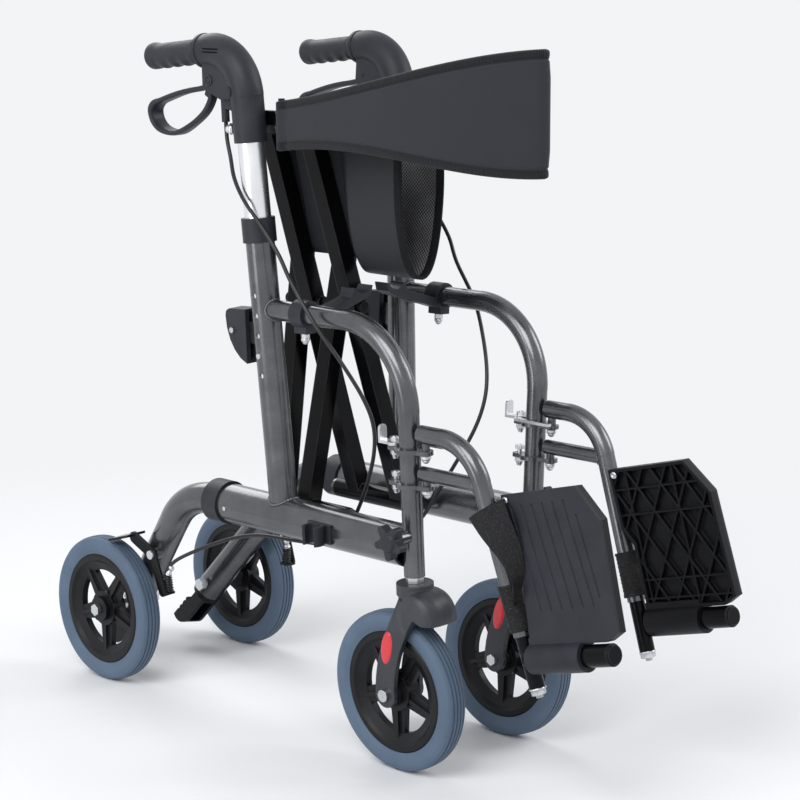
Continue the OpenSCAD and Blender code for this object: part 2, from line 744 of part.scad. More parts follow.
module rear_tyre(s) color(tyre_blue) square_side(s) at(0, axle_h, rear_half) tyre();
module rear_rim(s) color(black) square_side(s) at(0, axle_h, rear_half) rim(axle_r + run_gap, hub_half);
module front_tyre(s) color(tyre_blue) side(s) at(wheel_base, axle_h) tyre();
module front_rim(s) color(black) side(s) at(wheel_base, axle_h) rim(front_bolt_r + run_gap, hub_half);

// Moulded caster fork: a round cap, a bulging crown that reaches forward over the wheel, and two
// curved arms
fork_in = 18.5;
fork_out = 25;
fork_top = 242;
cap_t = 14;
crown_r = 34;
crown_f = post_f + 17;
crown_h = fork_top - 38;

module caster_fork(s) {
    clear_r = wheel_d / 2 + 6;
    front_edge = curve([crown_f + 12, crown_h + 10], [590, 196], [560, 150], [wheel_base + 15, axle_h], 14);
    rear_edge = curve([wheel_base - 16, axle_h], [wheel_base - 16, 150], [556, 190],
        [post_f - 4, fork_top - 16], 14);
    color(black) side(s) difference() {
        union() {
            for (u = [-fork_out, fork_in]) {
                side_plate(u, u + fork_out - fork_in, concat(front_edge, rear_edge));
                at(wheel_base, axle_h) rod_u(u, u + fork_out - fork_in, 16);
            }
            difference() {
                at(crown_f, crown_h) rotate([0, 90, 0]) rotate_extrude($fn = 96) polygon([[0, -27],
                    [16, -27], [24, -25.4], [29, -22], [32, -17], [33.4, -10], [crown_r, 0],
                    [33.4, 10], [32, 17], [29, 22], [24, 25.4], [16, 27], [0, 27]]);
                side_plate(-40, 40, concat([[crown_f + 60, crown_h - 4], [crown_f + 16, crown_h - 4]],
                    [for (i = [2:14]) front_edge[i]], [[wheel_base + 15, 60], [crown_f + 60, 60]]));
                side_plate(-40, 40, concat([for (i = [0:11]) rear_edge[i]], [[500, 200], [500, axle_h]]));
                at(wheel_base, axle_h) rod_u(-fork_in, fork_in, clear_r);
            }
            at(post_f, fork_top - cap_t) cylinder(r = 22.5, h = cap_t);
            at(post_f, crown_h + 6) cylinder(r = 20.5, h = fork_top - crown_h - 12);
        }
        at(post_f, wheel_d - 20) cylinder(r = stem_r + seat_gap, h = 80);
        at(wheel_base, axle_h) rod_u(-fork_out - 1, fork_out + 1, front_bolt_r + seat_gap);
    }
}

// Caster stem with its nut, and the front axle bolt
module caster_stem(s) {
    color(zinc) side(s) {
        at(post_f, wheel_d + 8) cylinder(r = stem_r, h = post_end_h + plug_len - wheel_d - 10);
        at(post_f, fork_top + fit_gap) cylinder(r = 11, h = post_end_h - fork_top - 2 * fit_gap, $fn = 6);
        at(wheel_base, axle_h) {
            rod_u(-fork_out - 4, fork_out + 4, front_bolt_r);
            rod_u(fork_out + fit_gap, fork_out + 5, 7.5);
            rod_u(-fork_out - 6, -fork_out - fit_gap, 7.5, $fn = 6);
        }
    }
}

// Swing-away footrest hanger
hanger_bend = 65;
hanger_end_h = 212;
hanger_arc = 90 - hanger_lean;
leg_line_f = 692 + (380 - hanger_h) * tan(hanger_lean);
hanger_go = leg_line_f - spindle_f
    + hanger_bend * ((1 - cos(hanger_arc)) * tan(hanger_lean) - sin(hanger_arc));
hanger_arc_h = hanger_h - hanger_bend * (1 - cos(hanger_arc));
hanger_leg = (hanger_arc_h - hanger_end_h) / cos(hanger_lean);
hanger_bar_h = hanger_h - 47;

// Frame at the top of the hanger's straight leg, with Z down its axis
module on_hanger_leg() {
    at(spindle_f + hanger_go + hanger_bend * sin(hanger_arc), hanger_arc_h)
        rotate([180 - hanger_lean, 0, 0]) children();
}

module hanger_tube(s) {
    bore = hanger_d / 2 - hanger_wall;
    bar_end = 692 + (380 - hanger_bar_h) * tan(hanger_lean);
    butt = 6.5;
    color(frame_grey) side(s) {
        at(spindle_f - butt, hanger_h) rotate([90, 0, 0]) rotate([0, 0, 180]) tube_run(hanger_d / 2, bore,
            [["go", hanger_go + butt], ["turn", hanger_bend, hanger_arc], ["go", hanger_leg]]);
        at(0, hanger_h) rod_f(spindle_f - butt + 0.5, spindle_f + 8, hanger_d / 2 - 0.4);
        at(spindle_f, clamp_levels[0] - clamp_t / 2 - 6) cylinder(r = spindle_r,
            h = hanger_h - clamp_levels[0] + clamp_t / 2 + 6);
        at(spindle_f, clamp_levels[1] - clamp_t / 2 - 6) cylinder(r = spindle_r,
            h = hanger_bar_h - clamp_levels[1] + clamp_t / 2 + 6);
        at(0, hanger_bar_h) rod_f(spindle_f - butt, bar_end - 4, 9);
    }
}

// Extension tube with the footplate's hinge pin
extension_r = hanger_d / 2 - hanger_wall - 0.1;
barrel_start = 14;
barrel_end = 95;
barrel_r = 18;
pin_r = 8;

// Frame of the footplate hinge: -Y along the pin, Z up the folded plate
module on_hinge() at(hinge_f, hinge_h, hinge_u) rotate([-plate_tilt, 0, 0]) children();

module extension_tube(s) {
    end = (hanger_arc_h - extension_end_h) / cos(hanger_lean);
    color(black) side(s) {
        on_hanger_leg() translate([0, 0, hanger_leg - 70])
            cylinder(r = extension_r, h = end - hanger_leg + 70);
        on_hanger_leg() translate([0, 0, end - 1]) cylinder(r = 7, h = 7, $fn = 6);
        on_hinge() {
            rod_f(0, barrel_end + 6, pin_r);
            rod_f(barrel_end + fit_gap, barrel_end + 38, 13);
            rod_f(barrel_end + 38, barrel_end + 41, 11);
        }
    }
}

// Footplate: grooved tread outside; inside, slanting ribs that cross each other, rows and two upright ribs
rib_rows = [27, 50, 130, 161];
rib_uprights = [24, 94];

function plate_outline(i) = [
    [16 + i, plate_low + i], [plate_w - 18 - i * 0.2, plate_low + i], [plate_w - i, plate_corner + i * 0.6],
    [plate_w - 4 - i, plate_len - 40 - i * 0.4], [plate_w - 34 - i * 0.5, plate_len - i],
    [2 + i, plate_len - i],
    [3.5 + i, 116 + i * 0.4], [17 + i, 95 + i * 0.4]];

module plate_face(i) polygon([for (p = plate_outline(i)) [-p[0], p[1]]]);

module sheet(u1, u2) translate([u1, 0, 0]) rotate([90, 0, 90]) linear_extrude(u2 - u1) children();

module footplate(s) {
    rib_w = 2.4;
    color(black) side(s) on_hinge() rotate([0, -plate_lean, 0]) difference() {
        union() {
            sheet(2, 6) plate_face(0);
            sheet(-7, 2.5) difference() {
                plate_face(0);
                plate_face(4);
            }
            sheet(-5, 2.5) intersection() {
                plate_face(2);
                union() {
                    for (k = [-3:3]) for (a = [-59, 59])
                        translate([-plate_w / 2, plate_len / 2 + 10]) rotate(a)
                            translate([-200, k * 31 - rib_w / 2]) square([400, rib_w]);
                    for (b = rib_rows) translate([-plate_w, b]) square([plate_w, rib_w]);
                    for (a = rib_uprights) translate([-a - rib_w, 0]) square([rib_w, plate_len]);
                }
            }
            rod_f(barrel_start, barrel_end, barrel_r);
            side_plate(-7, 6, [[barrel_start, 0], [barrel_end, 0], [barrel_end, 24], [barrel_start, 24]]);
        }
        rod_f(barrel_start - 20, barrel_end + 60, pin_r + run_gap);
        for (k = [0:6]) {
            end = k < 6 ? [39 + groove_pitch * k, 54] : [plate_w - 20.5, 64];
            start = k < 6 ? [14 + groove_pitch * k, 174] : [plate_w - 38.5, 157];
            side_plate(4.8, 8, [start, end, end + [2.8, 0], start + [2.8, 0]]);
        }
        translate([0, -12, plate_len - 8]) rod_u(0, 8, 2.5);
    }
}

// Ribbon of webbing: a station holds the ribbon's middle and half its width as [u, f, h], and its
// bulge outward
module ribbon(stations, t) {
    p = smooth(stations, 3);
    n = len(p) - 1;
    m = 6;
    function spot(i, j) = let (k = 2 * j / m - 1, c = p[i])
        [c[0] + k * c[3] + (1 - k * k) * c[6], -c[1] - k * c[4], c[2] + k * c[5]];
    function face_dir(i, j) = let (v = cross(spot(min(i + 1, n), j) - spot(max(i - 1, 0), j),
        spot(i, min(j + 1, m)) - spot(i, max(j - 1, 0)))) v / norm(v);
    inner = [for (i = [0:n]) for (j = [0:m]) spot(i, j) + face_dir(i, j) * t / 2];
    outer = [for (i = [0:n]) for (j = [0:m]) spot(i, j) - face_dir(i, j) * t / 2];
    w = m + 1;
    o = len(inner);
    quads = concat(
        [for (i = [0:n - 1]) for (j = [0:m - 1])
            [i * w + j, i * w + j + 1, i * w + w + j + 1, i * w + w + j]],
        [for (i = [0:n - 1]) for (j = [0:m - 1])
            [o + i * w + j, o + i * w + w + j, o + i * w + w + j + 1, o + i * w + j + 1]],
        [for (i = [0:n - 1]) [i * w, i * w + w, o + i * w + w, o + i * w]],
        [for (i = [0:n - 1]) [i * w + w + m, i * w + m, o + i * w + m, o + i * w + w + m]],
        [for (j = [0:m - 1]) [j + 1, j, o + j, o + j + 1]],
        [for (j = [0:m - 1]) [n * w + j, n * w + j + 1, o + n * w + j + 1, o + n * w + j]]);
    polyhedron(concat(inner, outer), [for (q = quads) each [[q[0], q[1], q[2]], [q[0], q[2], q[3]]]]);
}

// Heel strap: webbing that passes outside the hanger's leg from the plate's upper corner, and gathers
// into a cuff
strap_line = [
    [4, 702, 354, -9, 18.5, 12.5, 11], [9, 721, 336, -6, 16, 14, 3], [8, 742, 308, -8, 9, 8, 0.5],
    [12, 755, 285, -9, 2, 4, 0], [11, 752, 262, -5, 1, 2, 0], [7, 747, 251, -3, 1, 1, 0]
];

module heel_strap(s) {
    color(cloth) side(s) {
        on_hanger_leg() translate([0, 0, hanger_leg - 60])
            ring(hanger_d / 2 + 2.6, hanger_d / 2 + fit_gap, 54);
        ribbon(strap_line, strap_t);
    }
}

// Zinc latch that keeps the hanger from swinging out
module hanger_latch(s) {
    color(zinc) side(s) at(0, clamp_levels[0] + clamp_t / 2 + fit_gap) {
        linear_extrude(3.6) difference() {
            union() {
                translate([0, -latch_f]) circle(r = 9);
                translate([-6, -latch_f]) square([12, 22]);
                polygon([[0, -latch_f + 9], [-20, -latch_f - 6], [-22, -post_f - 20], [-22, -post_f - 38],
                         [-15, -post_f - 38], [-14.5, -post_f - 6], [-9, -latch_f]]);
            }
            translate([0, -latch_f]) circle(r = 3 + run_gap);
        }
        translate([-6, -latch_f + 19, 3]) cube([12, 3, 13]);
        translate([0, -latch_f + 22, 16]) rotate([90, 0, 0]) cylinder(r = 6, h = 3);
    }
}

// One scissor brace with its lower pivot tube and its seat tube
module brace_body(arms) {
    w = brace_w / 2;
    rod_f(pivot_rear_f, pivot_front_f, seat_tube_d / 2);
    translate([0, 0, brace_len]) rod_f(seat_tube_rear_f, seat_tube_front_f, seat_tube_d / 2);
    for (i = [0, 2])
        side_plate(-w, w, [[arms[i] - w, 0], [arms[i] + w, 0], [arms[i + 1] + w, brace_len],
            [arms[i + 1] - w, brace_len]]);
}

module brace_place(s) {
    translate([s * pivot_half, rear_axle_y, rail_h]) rotate([0, -s * brace_rest, 0]) children();
}

// Where an arm of a brace passes the crossing bolts
function at_cross(arms, i) = arms[i] + (arms[i + 1] - arms[i]) * cross_at / brace_len;
slant = 1.6;

// Right foot to left seat tube, with the two bolts the braces turn on
module brace_a() {
    w = brace_w / 2;
    color(frame_grey) brace_place(right) {
        difference() {
            brace_body(arms_a);
            rod_f(pivot_rear_f - 1, pivot_front_f + 1, pivot_pin_r + run_gap);
        }
        translate([0, 0, cross_at]) for (i = [0, 2]) {
            back = at_cross(arms_a, i);
            ahead = at_cross(arms_b, i);
            rod_f(back - w - 8, ahead + w + 7, brace_bolt_r);
            rod_f(back + w - 2, ahead - w - slant, 8);
            rod_f(ahead + w + slant, ahead + w + 8, 7.5);
            rod_f(back - w - 8, back - w + 2, 7.5);
        }
    }
}

// Left foot to right seat tube
module brace_b() {
    color(frame_grey) brace_place(left) difference() {
        brace_body(arms_b);
        rod_f(pivot_rear_f - 1, pivot_front_f + 1, pivot_pin_r + run_gap);
        translate([0, 0, cross_at]) for (i = [0, 2])
            rod_f(at_cross(arms_b, i) - brace_w, at_cross(arms_b, i) + brace_w, brace_bolt_r + run_gap);
    }
}

// Sling as strips [x, h] from the outside of the seat tube's sleeve, over the tube and down to the middle:
// free in front of the braces, and held in by the brace arms behind
wrap_r = seat_tube_d / 2 + fit_gap + 0.1 + sling_t / 2;
sling_sleeve = [for (a = [-30:15:180]) [seat_half + wrap_r * cos(a), seat_tube_h + wrap_r * sin(a)]];
sling_depth = seat_tube_h - sling_low_h;
sling_free = concat(sling_sleeve, curve([seat_half - wrap_r + 0.6, seat_tube_h - 12],
    [seat_half - 6, seat_tube_h - 0.42 * sling_depth], [seat_half - 18, sling_low_h],
    [0, sling_low_h], 12));
v_tan = tan(brace_rest);
cross_h = rail_h + cross_at * cos(brace_rest);
function v_gap(h) = (h - cross_h) * v_tan - brace_w / 2 / cos(brace_rest) - sling_t / 2 - fit_gap;
held_low_h = sling_low_h + 18;
held_top_h = seat_tube_h - 14;
sling_held = concat(sling_sleeve,
    [for (i = [0:5]) let (h = held_top_h + (held_low_h + 5 - held_top_h) * i / 5) [v_gap(h) - 0.2, h]],
    [[0, held_low_h]]);

function side_of(p, i, d) = let (t = along(p, i)) p[i] + d * [-t[1], t[0]];

module sling_strip(line, f1, f2) {
    n = len(line) - 1;
    at(f1, 0) rotate([90, 0, 0]) linear_extrude(f2 - f1) difference() {
        polygon(concat([for (i = [0:n]) side_of(line, i, sling_t / 2)],
            [for (i = [n:-1:0]) side_of(line, i, -sling_t / 2)]));
        translate([-5, 0]) square([5.15, 900]);
    }
}

module sling_half(s) {
    free_f = max(arms_b[0], arms_b[1]) - 20;
    color(cloth) square_side(s) {
        sling_strip(sling_held, sling_rear_f, free_f + 3);
        sling_strip(sling_free, free_f, sling_front_f);
    }
}

module seat_sling_right() sling_half(right);
module seat_sling_left() sling_half(left);

// Arm that carries one end of the back band and flips it over to the rear
band_pin_f = 348;
band_hinge_x = band_bar_in + band_bar_t / 2;
band_hinge_r = 4;

module band_arm(s) {
    color(black) square_side(s) {
        at(0, 0) bar(band_bar_in, band_bar_in + band_bar_t, [band_pivot[0] - 30, band_pivot[1]],
            [band_pin_f - 8, band_pivot[1]], 18);
        at(band_pivot[0], band_pivot[1]) rod_u(band_bar_in + 2, boss_start + 12, band_pin_r);
        at(band_pin_f, band_pivot[1] - 7, band_hinge_x) cylinder(r = band_hinge_r + 4, h = 14);
        at(band_pin_f, band_pivot[1] - 24, band_hinge_x) cylinder(r = band_hinge_r, h = 48);
    }
}

// Padded back band: one leaf a side, bowed outward, meeting at the fold
band_sag = 25;
band_chord = norm([band_hinge_x, band_tip_f - band_pin_f]);
band_r = (band_chord * band_chord / 4 + band_sag * band_sag) / (2 * band_sag);
chord_x = band_hinge_x / band_chord;
chord_f = (band_tip_f - band_pin_f) / band_chord;
band_mid_h = 771;
band_tip_mid_h = 792.5;

module back_band(s) {
    centre_x = band_hinge_x / 2 - chord_f * (band_r - band_sag);
    centre_f = (band_tip_f + band_pin_f) / 2 - chord_x * (band_r - band_sag);
    n = 12;
    end_top = band_mid_h + band_end_h / 2;
    end_low = band_mid_h - band_end_h / 2;
    tip_top = band_tip_mid_h + band_tip_h / 2;
    tip_low = band_tip_mid_h - band_tip_h / 2;
    top = curve([band_pin_f, end_top], [band_pin_f + 122, end_top + 13.5], [band_tip_f - 100, tip_top - 4],
        [band_tip_f, tip_top], n);
    low = curve([band_tip_f, tip_low], [band_tip_f - 100, tip_low - 7], [band_pin_f + 142, end_low + 20],
        [band_pin_f, end_low], n);
    color(cloth) square_side(s) difference() {
        union() {
            intersection() {
                at(centre_f, 690, centre_x) rotate_extrude($fn = 240)
                    translate([band_r - band_t / 2, 0]) square([band_t, 200]);
                side_plate(0.15, 200, concat(top, low));
            }
            at(band_pin_f, end_low + 6, band_hinge_x) cylinder(r = band_hinge_r + 4, h = band_end_h - 10);
        }
        at(band_pin_f, band_pivot[1] - 8, band_hinge_x) cylinder(r = band_hinge_r + 5.5, h = 16);
        at(band_pin_f, 700, band_hinge_x) cylinder(r = band_hinge_r + run_gap, h = 160);
        translate([band_bar_in - 2, -band_pin_f + 2, band_pivot[1] - 10]) cube([20, 40, 20]);
    }
}

side_frame(right);  // side_frame_right
side_frame(left);  // side_frame_left
arm_tube(right);  // arm_tube_right
arm_tube(left);  // arm_tube_left
rear_leg(right);  // rear_leg_right
rear_leg(left);  // rear_leg_left
frame_fittings(right);  // frame_fittings_right
frame_fittings(left);  // frame_fittings_left
hanger_clamps(right);  // hanger_clamps_right
hanger_clamps(left);  // hanger_clamps_left
kerb_pedal(right);  // kerb_pedal_right
kerb_pedal(left);  // kerb_pedal_left
frame_bolts(right);  // frame_bolts_right
frame_bolts(left);  // frame_bolts_left
brake_cable(right);  // brake_cable_right
brake_cable(left);  // brake_cable_left
brake_arm(right);  // brake_arm_right
brake_arm(left);  // brake_arm_left
handle_tube(right);  // handle_tube_right
handle_tube(left);  // handle_tube_left
handle_housing(right);  // handle_housing_right
handle_housing(left);  // handle_housing_left
grip(right);  // grip_right
grip(left);  // grip_left
brake_lever(right);  // brake_lever_right
brake_lever(left);  // brake_lever_left
height_lever(right);  // height_lever_right
height_lever(left);  // height_lever_left
star_knob(right);  // star_knob_right
star_knob(left);  // star_knob_left
rear_tyre(right);  // rear_tyre_right
rear_tyre(left);  // rear_tyre_left
rear_rim(right);  // rear_rim_right
rear_rim(left);  // rear_rim_left
caster_fork(right);  // caster_fork_right
caster_fork(left);  // caster_fork_left
caster_stem(right);  // caster_stem_right
caster_stem(left);  // caster_stem_left
front_tyre(right);  // front_tyre_right
front_tyre(left);  // front_tyre_left
front_rim(right);  // front_rim_right
front_rim(left);  // front_rim_left
hanger_tube(right);  // hanger_tube_right
hanger_tube(left);  // hanger_tube_left
extension_tube(right);  // extension_tube_right
extension_tube(left);  // extension_tube_left
footplate(right);  // footplate_right
footplate(left);  // footplate_left
heel_strap(right);  // heel_strap_right
heel_strap(left);  // heel_strap_left
hanger_latch(right);  // hanger_latch_right
hanger_latch(left);  // hanger_latch_left
brace_a();
brace_b();
seat_sling_right();
seat_sling_left();
back_band(right);  // back_band_right
back_band(left);  // back_band_left
band_arm(right);  // band_arm_right
band_arm(left);  // band_arm_left
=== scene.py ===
import bpy
import numpy as np
from mathutils import Matrix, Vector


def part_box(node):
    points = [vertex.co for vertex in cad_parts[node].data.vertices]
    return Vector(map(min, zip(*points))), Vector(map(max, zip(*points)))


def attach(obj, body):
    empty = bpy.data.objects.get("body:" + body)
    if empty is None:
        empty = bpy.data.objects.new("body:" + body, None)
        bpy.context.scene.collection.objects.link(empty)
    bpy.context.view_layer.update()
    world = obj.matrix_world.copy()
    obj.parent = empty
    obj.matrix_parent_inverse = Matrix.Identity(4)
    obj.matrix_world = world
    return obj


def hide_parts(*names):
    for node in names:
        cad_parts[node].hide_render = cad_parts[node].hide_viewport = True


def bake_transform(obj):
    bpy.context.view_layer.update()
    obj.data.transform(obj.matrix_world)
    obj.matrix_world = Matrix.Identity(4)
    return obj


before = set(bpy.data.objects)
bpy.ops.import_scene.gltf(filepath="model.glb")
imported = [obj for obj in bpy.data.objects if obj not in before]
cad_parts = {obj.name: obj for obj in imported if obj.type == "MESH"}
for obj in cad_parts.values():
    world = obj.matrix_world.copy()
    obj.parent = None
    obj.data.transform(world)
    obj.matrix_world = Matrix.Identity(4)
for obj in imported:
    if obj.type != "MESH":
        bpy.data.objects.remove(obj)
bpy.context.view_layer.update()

# Places are in mm: f forward of the rear axle, h up from the floor, u outward from a side frame's middle
# plane, which leans out by CANT and stands SIDE_X from the middle at the height of the axle.
SIDES = ((-1, "right"), (1, "left"))
AXLE_Y = 1000 * float(np.mean([corner[1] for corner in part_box("rear_tyre_right")]))
SIDE_X, AXLE_H, CANT = 96.0, 100.0, np.radians(2.7)
UPRIGHT_F, UPRIGHT_LEAN, UPRIGHT_R = 350.0, np.radians(3.5), 18.0
RAIL_H, RAIL_R, ARM_R = 285.0, 25.0, 12.7
LEG_F, LEG_H, LEG_LEAN, LEG_R = 692.0, 380.0, np.radians(19.0), 11.0
PLATE_HINGE, PLATE_TILT, PLATE_LEAN = (5.0, 758.0, 187.0), np.radians(14.5), np.radians(5.9)
LEVER_PIVOT = (261.0, 826.0)


def unit(vectors):
    """Each vector divided by its own length."""
    vectors = np.asarray(vectors, float)
    return vectors / np.linalg.norm(vectors, axis=-1, keepdims=True)


def circle(count):
    """The angles of count points at equal distances round a full turn."""
    return np.linspace(0, 2 * np.pi, count, endpoint=False)


def run_along(points):
    """The distance along a line of points from its start to each of them."""
    return np.concatenate([[0], np.cumsum(np.linalg.norm(np.diff(points, axis=0), axis=1))])


def ease(value, low, high):
    """0 below low, 1 above high, and the cubic step between."""
    t = np.clip((value - low) / (high - low), 0, 1)
    return t * t * (3 - 2 * t)


def bell(value, middle, width, power=2):
    """A bump 1 high: e to the minus of the distance from middle, counted in widths, to that power."""
    return np.exp(-((value - middle) / width) ** power)


def in_side(s, points):
    """Points (u, f, h) of a side frame in the part's metres; s is -1 on the right and 1 on the left."""
    u, f, h = np.moveaxis(np.asarray(points, float), -1, 0)
    return np.stack([s * (SIDE_X + u * np.cos(CANT) + (h - AXLE_H) * np.sin(CANT)), AXLE_Y - f,
                     AXLE_H - u * np.sin(CANT) + (h - AXLE_H) * np.cos(CANT)], -1) / 1000


def stand(obj, right, up, back, place):
    """Puts an object in the scene at place, with its own axes along right, up and back."""
    pose = np.eye(4)
    pose[:3] = np.stack([right, up, back, place], -1)
    obj.matrix_world = Matrix(pose.tolist())
    bpy.context.scene.collection.objects.link(obj)


# The view: a camera on a stand, a little above the handles, in front of the chair's near front corner,
# with a long lens so that the two side frames keep nearly the same size.
VIEW_AZIMUTH, VIEW_PITCH, VIEW_ROLL = np.radians((-44.65, 10.45, -0.19))
VIEW_PLACE = (-1.86869, AXLE_Y / 1000 - 2.34157, 0.92198)
camera = bpy.data.objects.new("camera", bpy.data.cameras.new("camera"))
camera.data.sensor_width = 36.0
camera.data.lens = 97.79
camera.data.clip_end = 60.0
level_right = np.array((np.cos(VIEW_AZIMUTH), np.sin(VIEW_AZIMUTH), 0.0))
view_back = np.array((np.sin(VIEW_AZIMUTH) * np.cos(VIEW_PITCH),
                      -np.cos(VIEW_AZIMUTH) * np.cos(VIEW_PITCH), np.sin(VIEW_PITCH)))
level_up = np.cross(view_back, level_right)
stand(camera, level_right * np.cos(VIEW_ROLL) + level_up * np.sin(VIEW_ROLL),
      level_up * np.cos(VIEW_ROLL) - level_right * np.sin(VIEW_ROLL), view_back, VIEW_PLACE)
bpy.context.scene.camera = camera
bpy.context.scene.view_settings.view_transform = "Standard"


class Shading:
    """The nodes of one material or node group, with short ways to add to them."""

    def __init__(self, tree, material=None):
        self.nodes, self.links, self.material = tree.nodes, tree.links, material
        self.shader = tree.nodes.get("Principled BSDF")
        self.grain = self.weave = self.colour = None

    def node(self, kind, **values):
        """A node of that kind with plain settings; other names set its input sockets."""
        made = self.nodes.new(kind)
        for key, value in values.items():
            if hasattr(made, key):
                setattr(made, key, value)
            else:
                made.inputs[key.replace("_", " ")].default_value = value
        return made

    def feed(self, socket, source):
        """Links a value to a socket of the material's shader."""
        self.links.new(source, self.shader.inputs[socket])

    def place(self):
        """Object coordinates, which are the part's own metres."""
        return self.node("ShaderNodeTexCoord").outputs["Object"]

    def chart(self, layer):
        """The values of one of the piece's own maps."""
        return self.node("ShaderNodeUVMap", uv_map=layer).outputs[0]

    def split(self, vector):
        """The x, y and z of a vector."""
        made = self.node("ShaderNodeSeparateXYZ")
        self.links.new(vector, made.inputs[0])
        return made.outputs

    def calc(self, operation, first, second=None):
        """One operation on two values, each a socket or a plain number."""
        made = self.node("ShaderNodeMath", operation=operation)
        for slot, value in enumerate((first, second)):
            if isinstance(value, (int, float)):
                made.inputs[slot].default_value = value
            elif value is not None:
                self.links.new(value, made.inputs[slot])
        return made.outputs[0]

    def spread(self, factor, low, high, to_low=0.0, to_high=1.0):
        """A value that goes from to_low to to_high as factor goes from low to high."""
        ramp = self.node("ShaderNodeMapRange", From_Min=low, From_Max=high, To_Min=to_low, To_Max=to_high)
        self.links.new(factor, ramp.inputs["Value"])
        return ramp.outputs[0]

    def mix(self, factor, first, second):
        """The colour between first and second by factor; each is a socket or a plain colour."""
        made = self.node("ShaderNodeMix", data_type="RGBA")
        self.links.new(factor, made.inputs[0])
        for slot, value in ((6, first), (7, second)):
            if isinstance(value, tuple):
                made.inputs[slot].default_value = (*value, 1.0)
            else:
                self.links.new(value, made.inputs[slot])
        return made.outputs[2]

    def group(self, tree, vector, **values):
        """The outputs of a node group that is fed with a vector and its own values."""
        made = self.node("ShaderNodeGroup", node_tree=tree)
        self.links.new(vector, made.inputs["Vector"])
        for key, value in values.items():
            made.inputs[key].default_value = value
        return made.outputs

    def bump(self, height, distance, normal=None):
        """Raises the surface by height times distance, on top of another normal if one is given."""
        made = self.node("ShaderNodeBump", Distance=distance)
        self.links.new(height, made.inputs["Height"])
        if normal is not None:
            self.links.new(normal, made.inputs["Normal"])
        self.feed("Normal", made.outputs[0])


def finish(name, **values):
    """The shading of a new material: a Principled shader with plain values on its own sockets."""
    material = bpy.data.materials.new(name)
    material.use_nodes = True
    look = Shading(material.node_tree, material)
    for socket, value in values.items():
        look.shader.inputs[socket.replace("_", " ")].default_value = value
    return look


def grid_mesh(name, grids, look, closed_u=False, closed_v=False, uv=None, solid=False, turn=False):
    """A mesh from one or more arrays of points (rows, columns, 3): each cell of a grid is one quad, and a
    closed direction joins its last line to its first. uv gives maps (rows, columns, 2) of the first grid. A
    solid grid has its faces turned outward, by the sign of the volume that they enclose; turn turns the
    faces of a sheet."""
    grids = [grids] if isinstance(grids, np.ndarray) else list(grids)
    quads, start = [], 0
    for points in grids:
        rows, columns = points.shape[:2]
        row = np.arange(rows if closed_u else rows - 1)[:, None]
        col = np.arange(columns if closed_v else columns - 1)[None, :]
        next_row, next_col = (row + 1) % rows, (col + 1) % columns
        cells = np.stack([row * columns + col, row * columns + next_col,
                          next_row * columns + next_col, next_row * columns + col], -1).reshape(-1, 4)
        if solid:
            a, b, c, d = np.moveaxis((points.reshape(-1, 3) - points.mean((0, 1)))[cells], 1, 0)
            turn = (np.cross(b - a, c - a) * a).sum() + (np.cross(c - a, d - a) * a).sum() < 0
        quads.append((cells[:, ::-1] if turn else cells) + start)
        start += rows * columns
    quads = np.concatenate(quads)
    spots = np.concatenate([points.reshape(-1, 3) for points in grids])
    mesh = bpy.data.meshes.new(name)
    mesh.vertices.add(len(spots))
    mesh.vertices.foreach_set("co", np.ascontiguousarray(spots, np.float32).ravel())
    mesh.loops.add(quads.size)
    mesh.loops.foreach_set("vertex_index", quads.astype(np.int32).ravel())
    mesh.polygons.add(len(quads))
    mesh.polygons.foreach_set("loop_start", np.arange(len(quads), dtype=np.int32) * 4)
    mesh.polygons.foreach_set("use_smooth", np.ones(len(quads), bool))
    mesh.update(calc_edges=True)
    for layer, values in (uv or {}).items():
        flat = np.ascontiguousarray(values.reshape(-1, 2)[quads.ravel()], np.float32)
        mesh.uv_layers.new(name=layer).data.foreach_set("uv", flat.ravel())
    mesh.materials.append(look.material)
    obj = bpy.data.objects.new(name, mesh)
    bpy.context.scene.collection.objects.link(obj)
    return obj


# The studio: a pale floor that fades into a pale surround, one broad lamp high on the near side, a tall one
# below it that draws the tubes' length, a weaker one on the far side and one behind for the tubes' edges.
PALE, FILL = (0.890, 0.902, 0.918, 1.0), (0.40, 0.405, 0.42, 1.0)
FLOOR_REACH, FADE_FROM, FADE_TO, FLOOR_Z = 2.6, 0.75, 1.9, -0.0006


def lamp(name, place, aim, wide, high, watts):
    """An upright soft lamp, wide by high, at place, turned so that its face looks at aim."""
    light = bpy.data.lights.new(name, "AREA")
    light.shape = "RECTANGLE"
    light.size, light.size_y = wide, high
    light.energy = watts
    away = unit(np.array(place) - np.array(aim))
    side = unit(np.cross((0.0, 0.0, 1.0), away))
    stand(bpy.data.objects.new(name, light), side, np.cross(away, side), away, place)


lamp("lamp_near", (-2.5, -1.0, 2.6), (0, 0, 0.45), 1.9, 1.9, 62)
lamp("lamp_tall", (-2.9, 0.5, 1.2), (0, 0, 0.5), 0.9, 2.4, 26)
lamp("lamp_far", (2.3, -2.0, 2.3), (0, 0, 0.5), 1.7, 1.7, 46)
lamp("lamp_behind", (0.8, 2.6, 2.4), (0, 0, 0.5), 1.8, 1.8, 34)

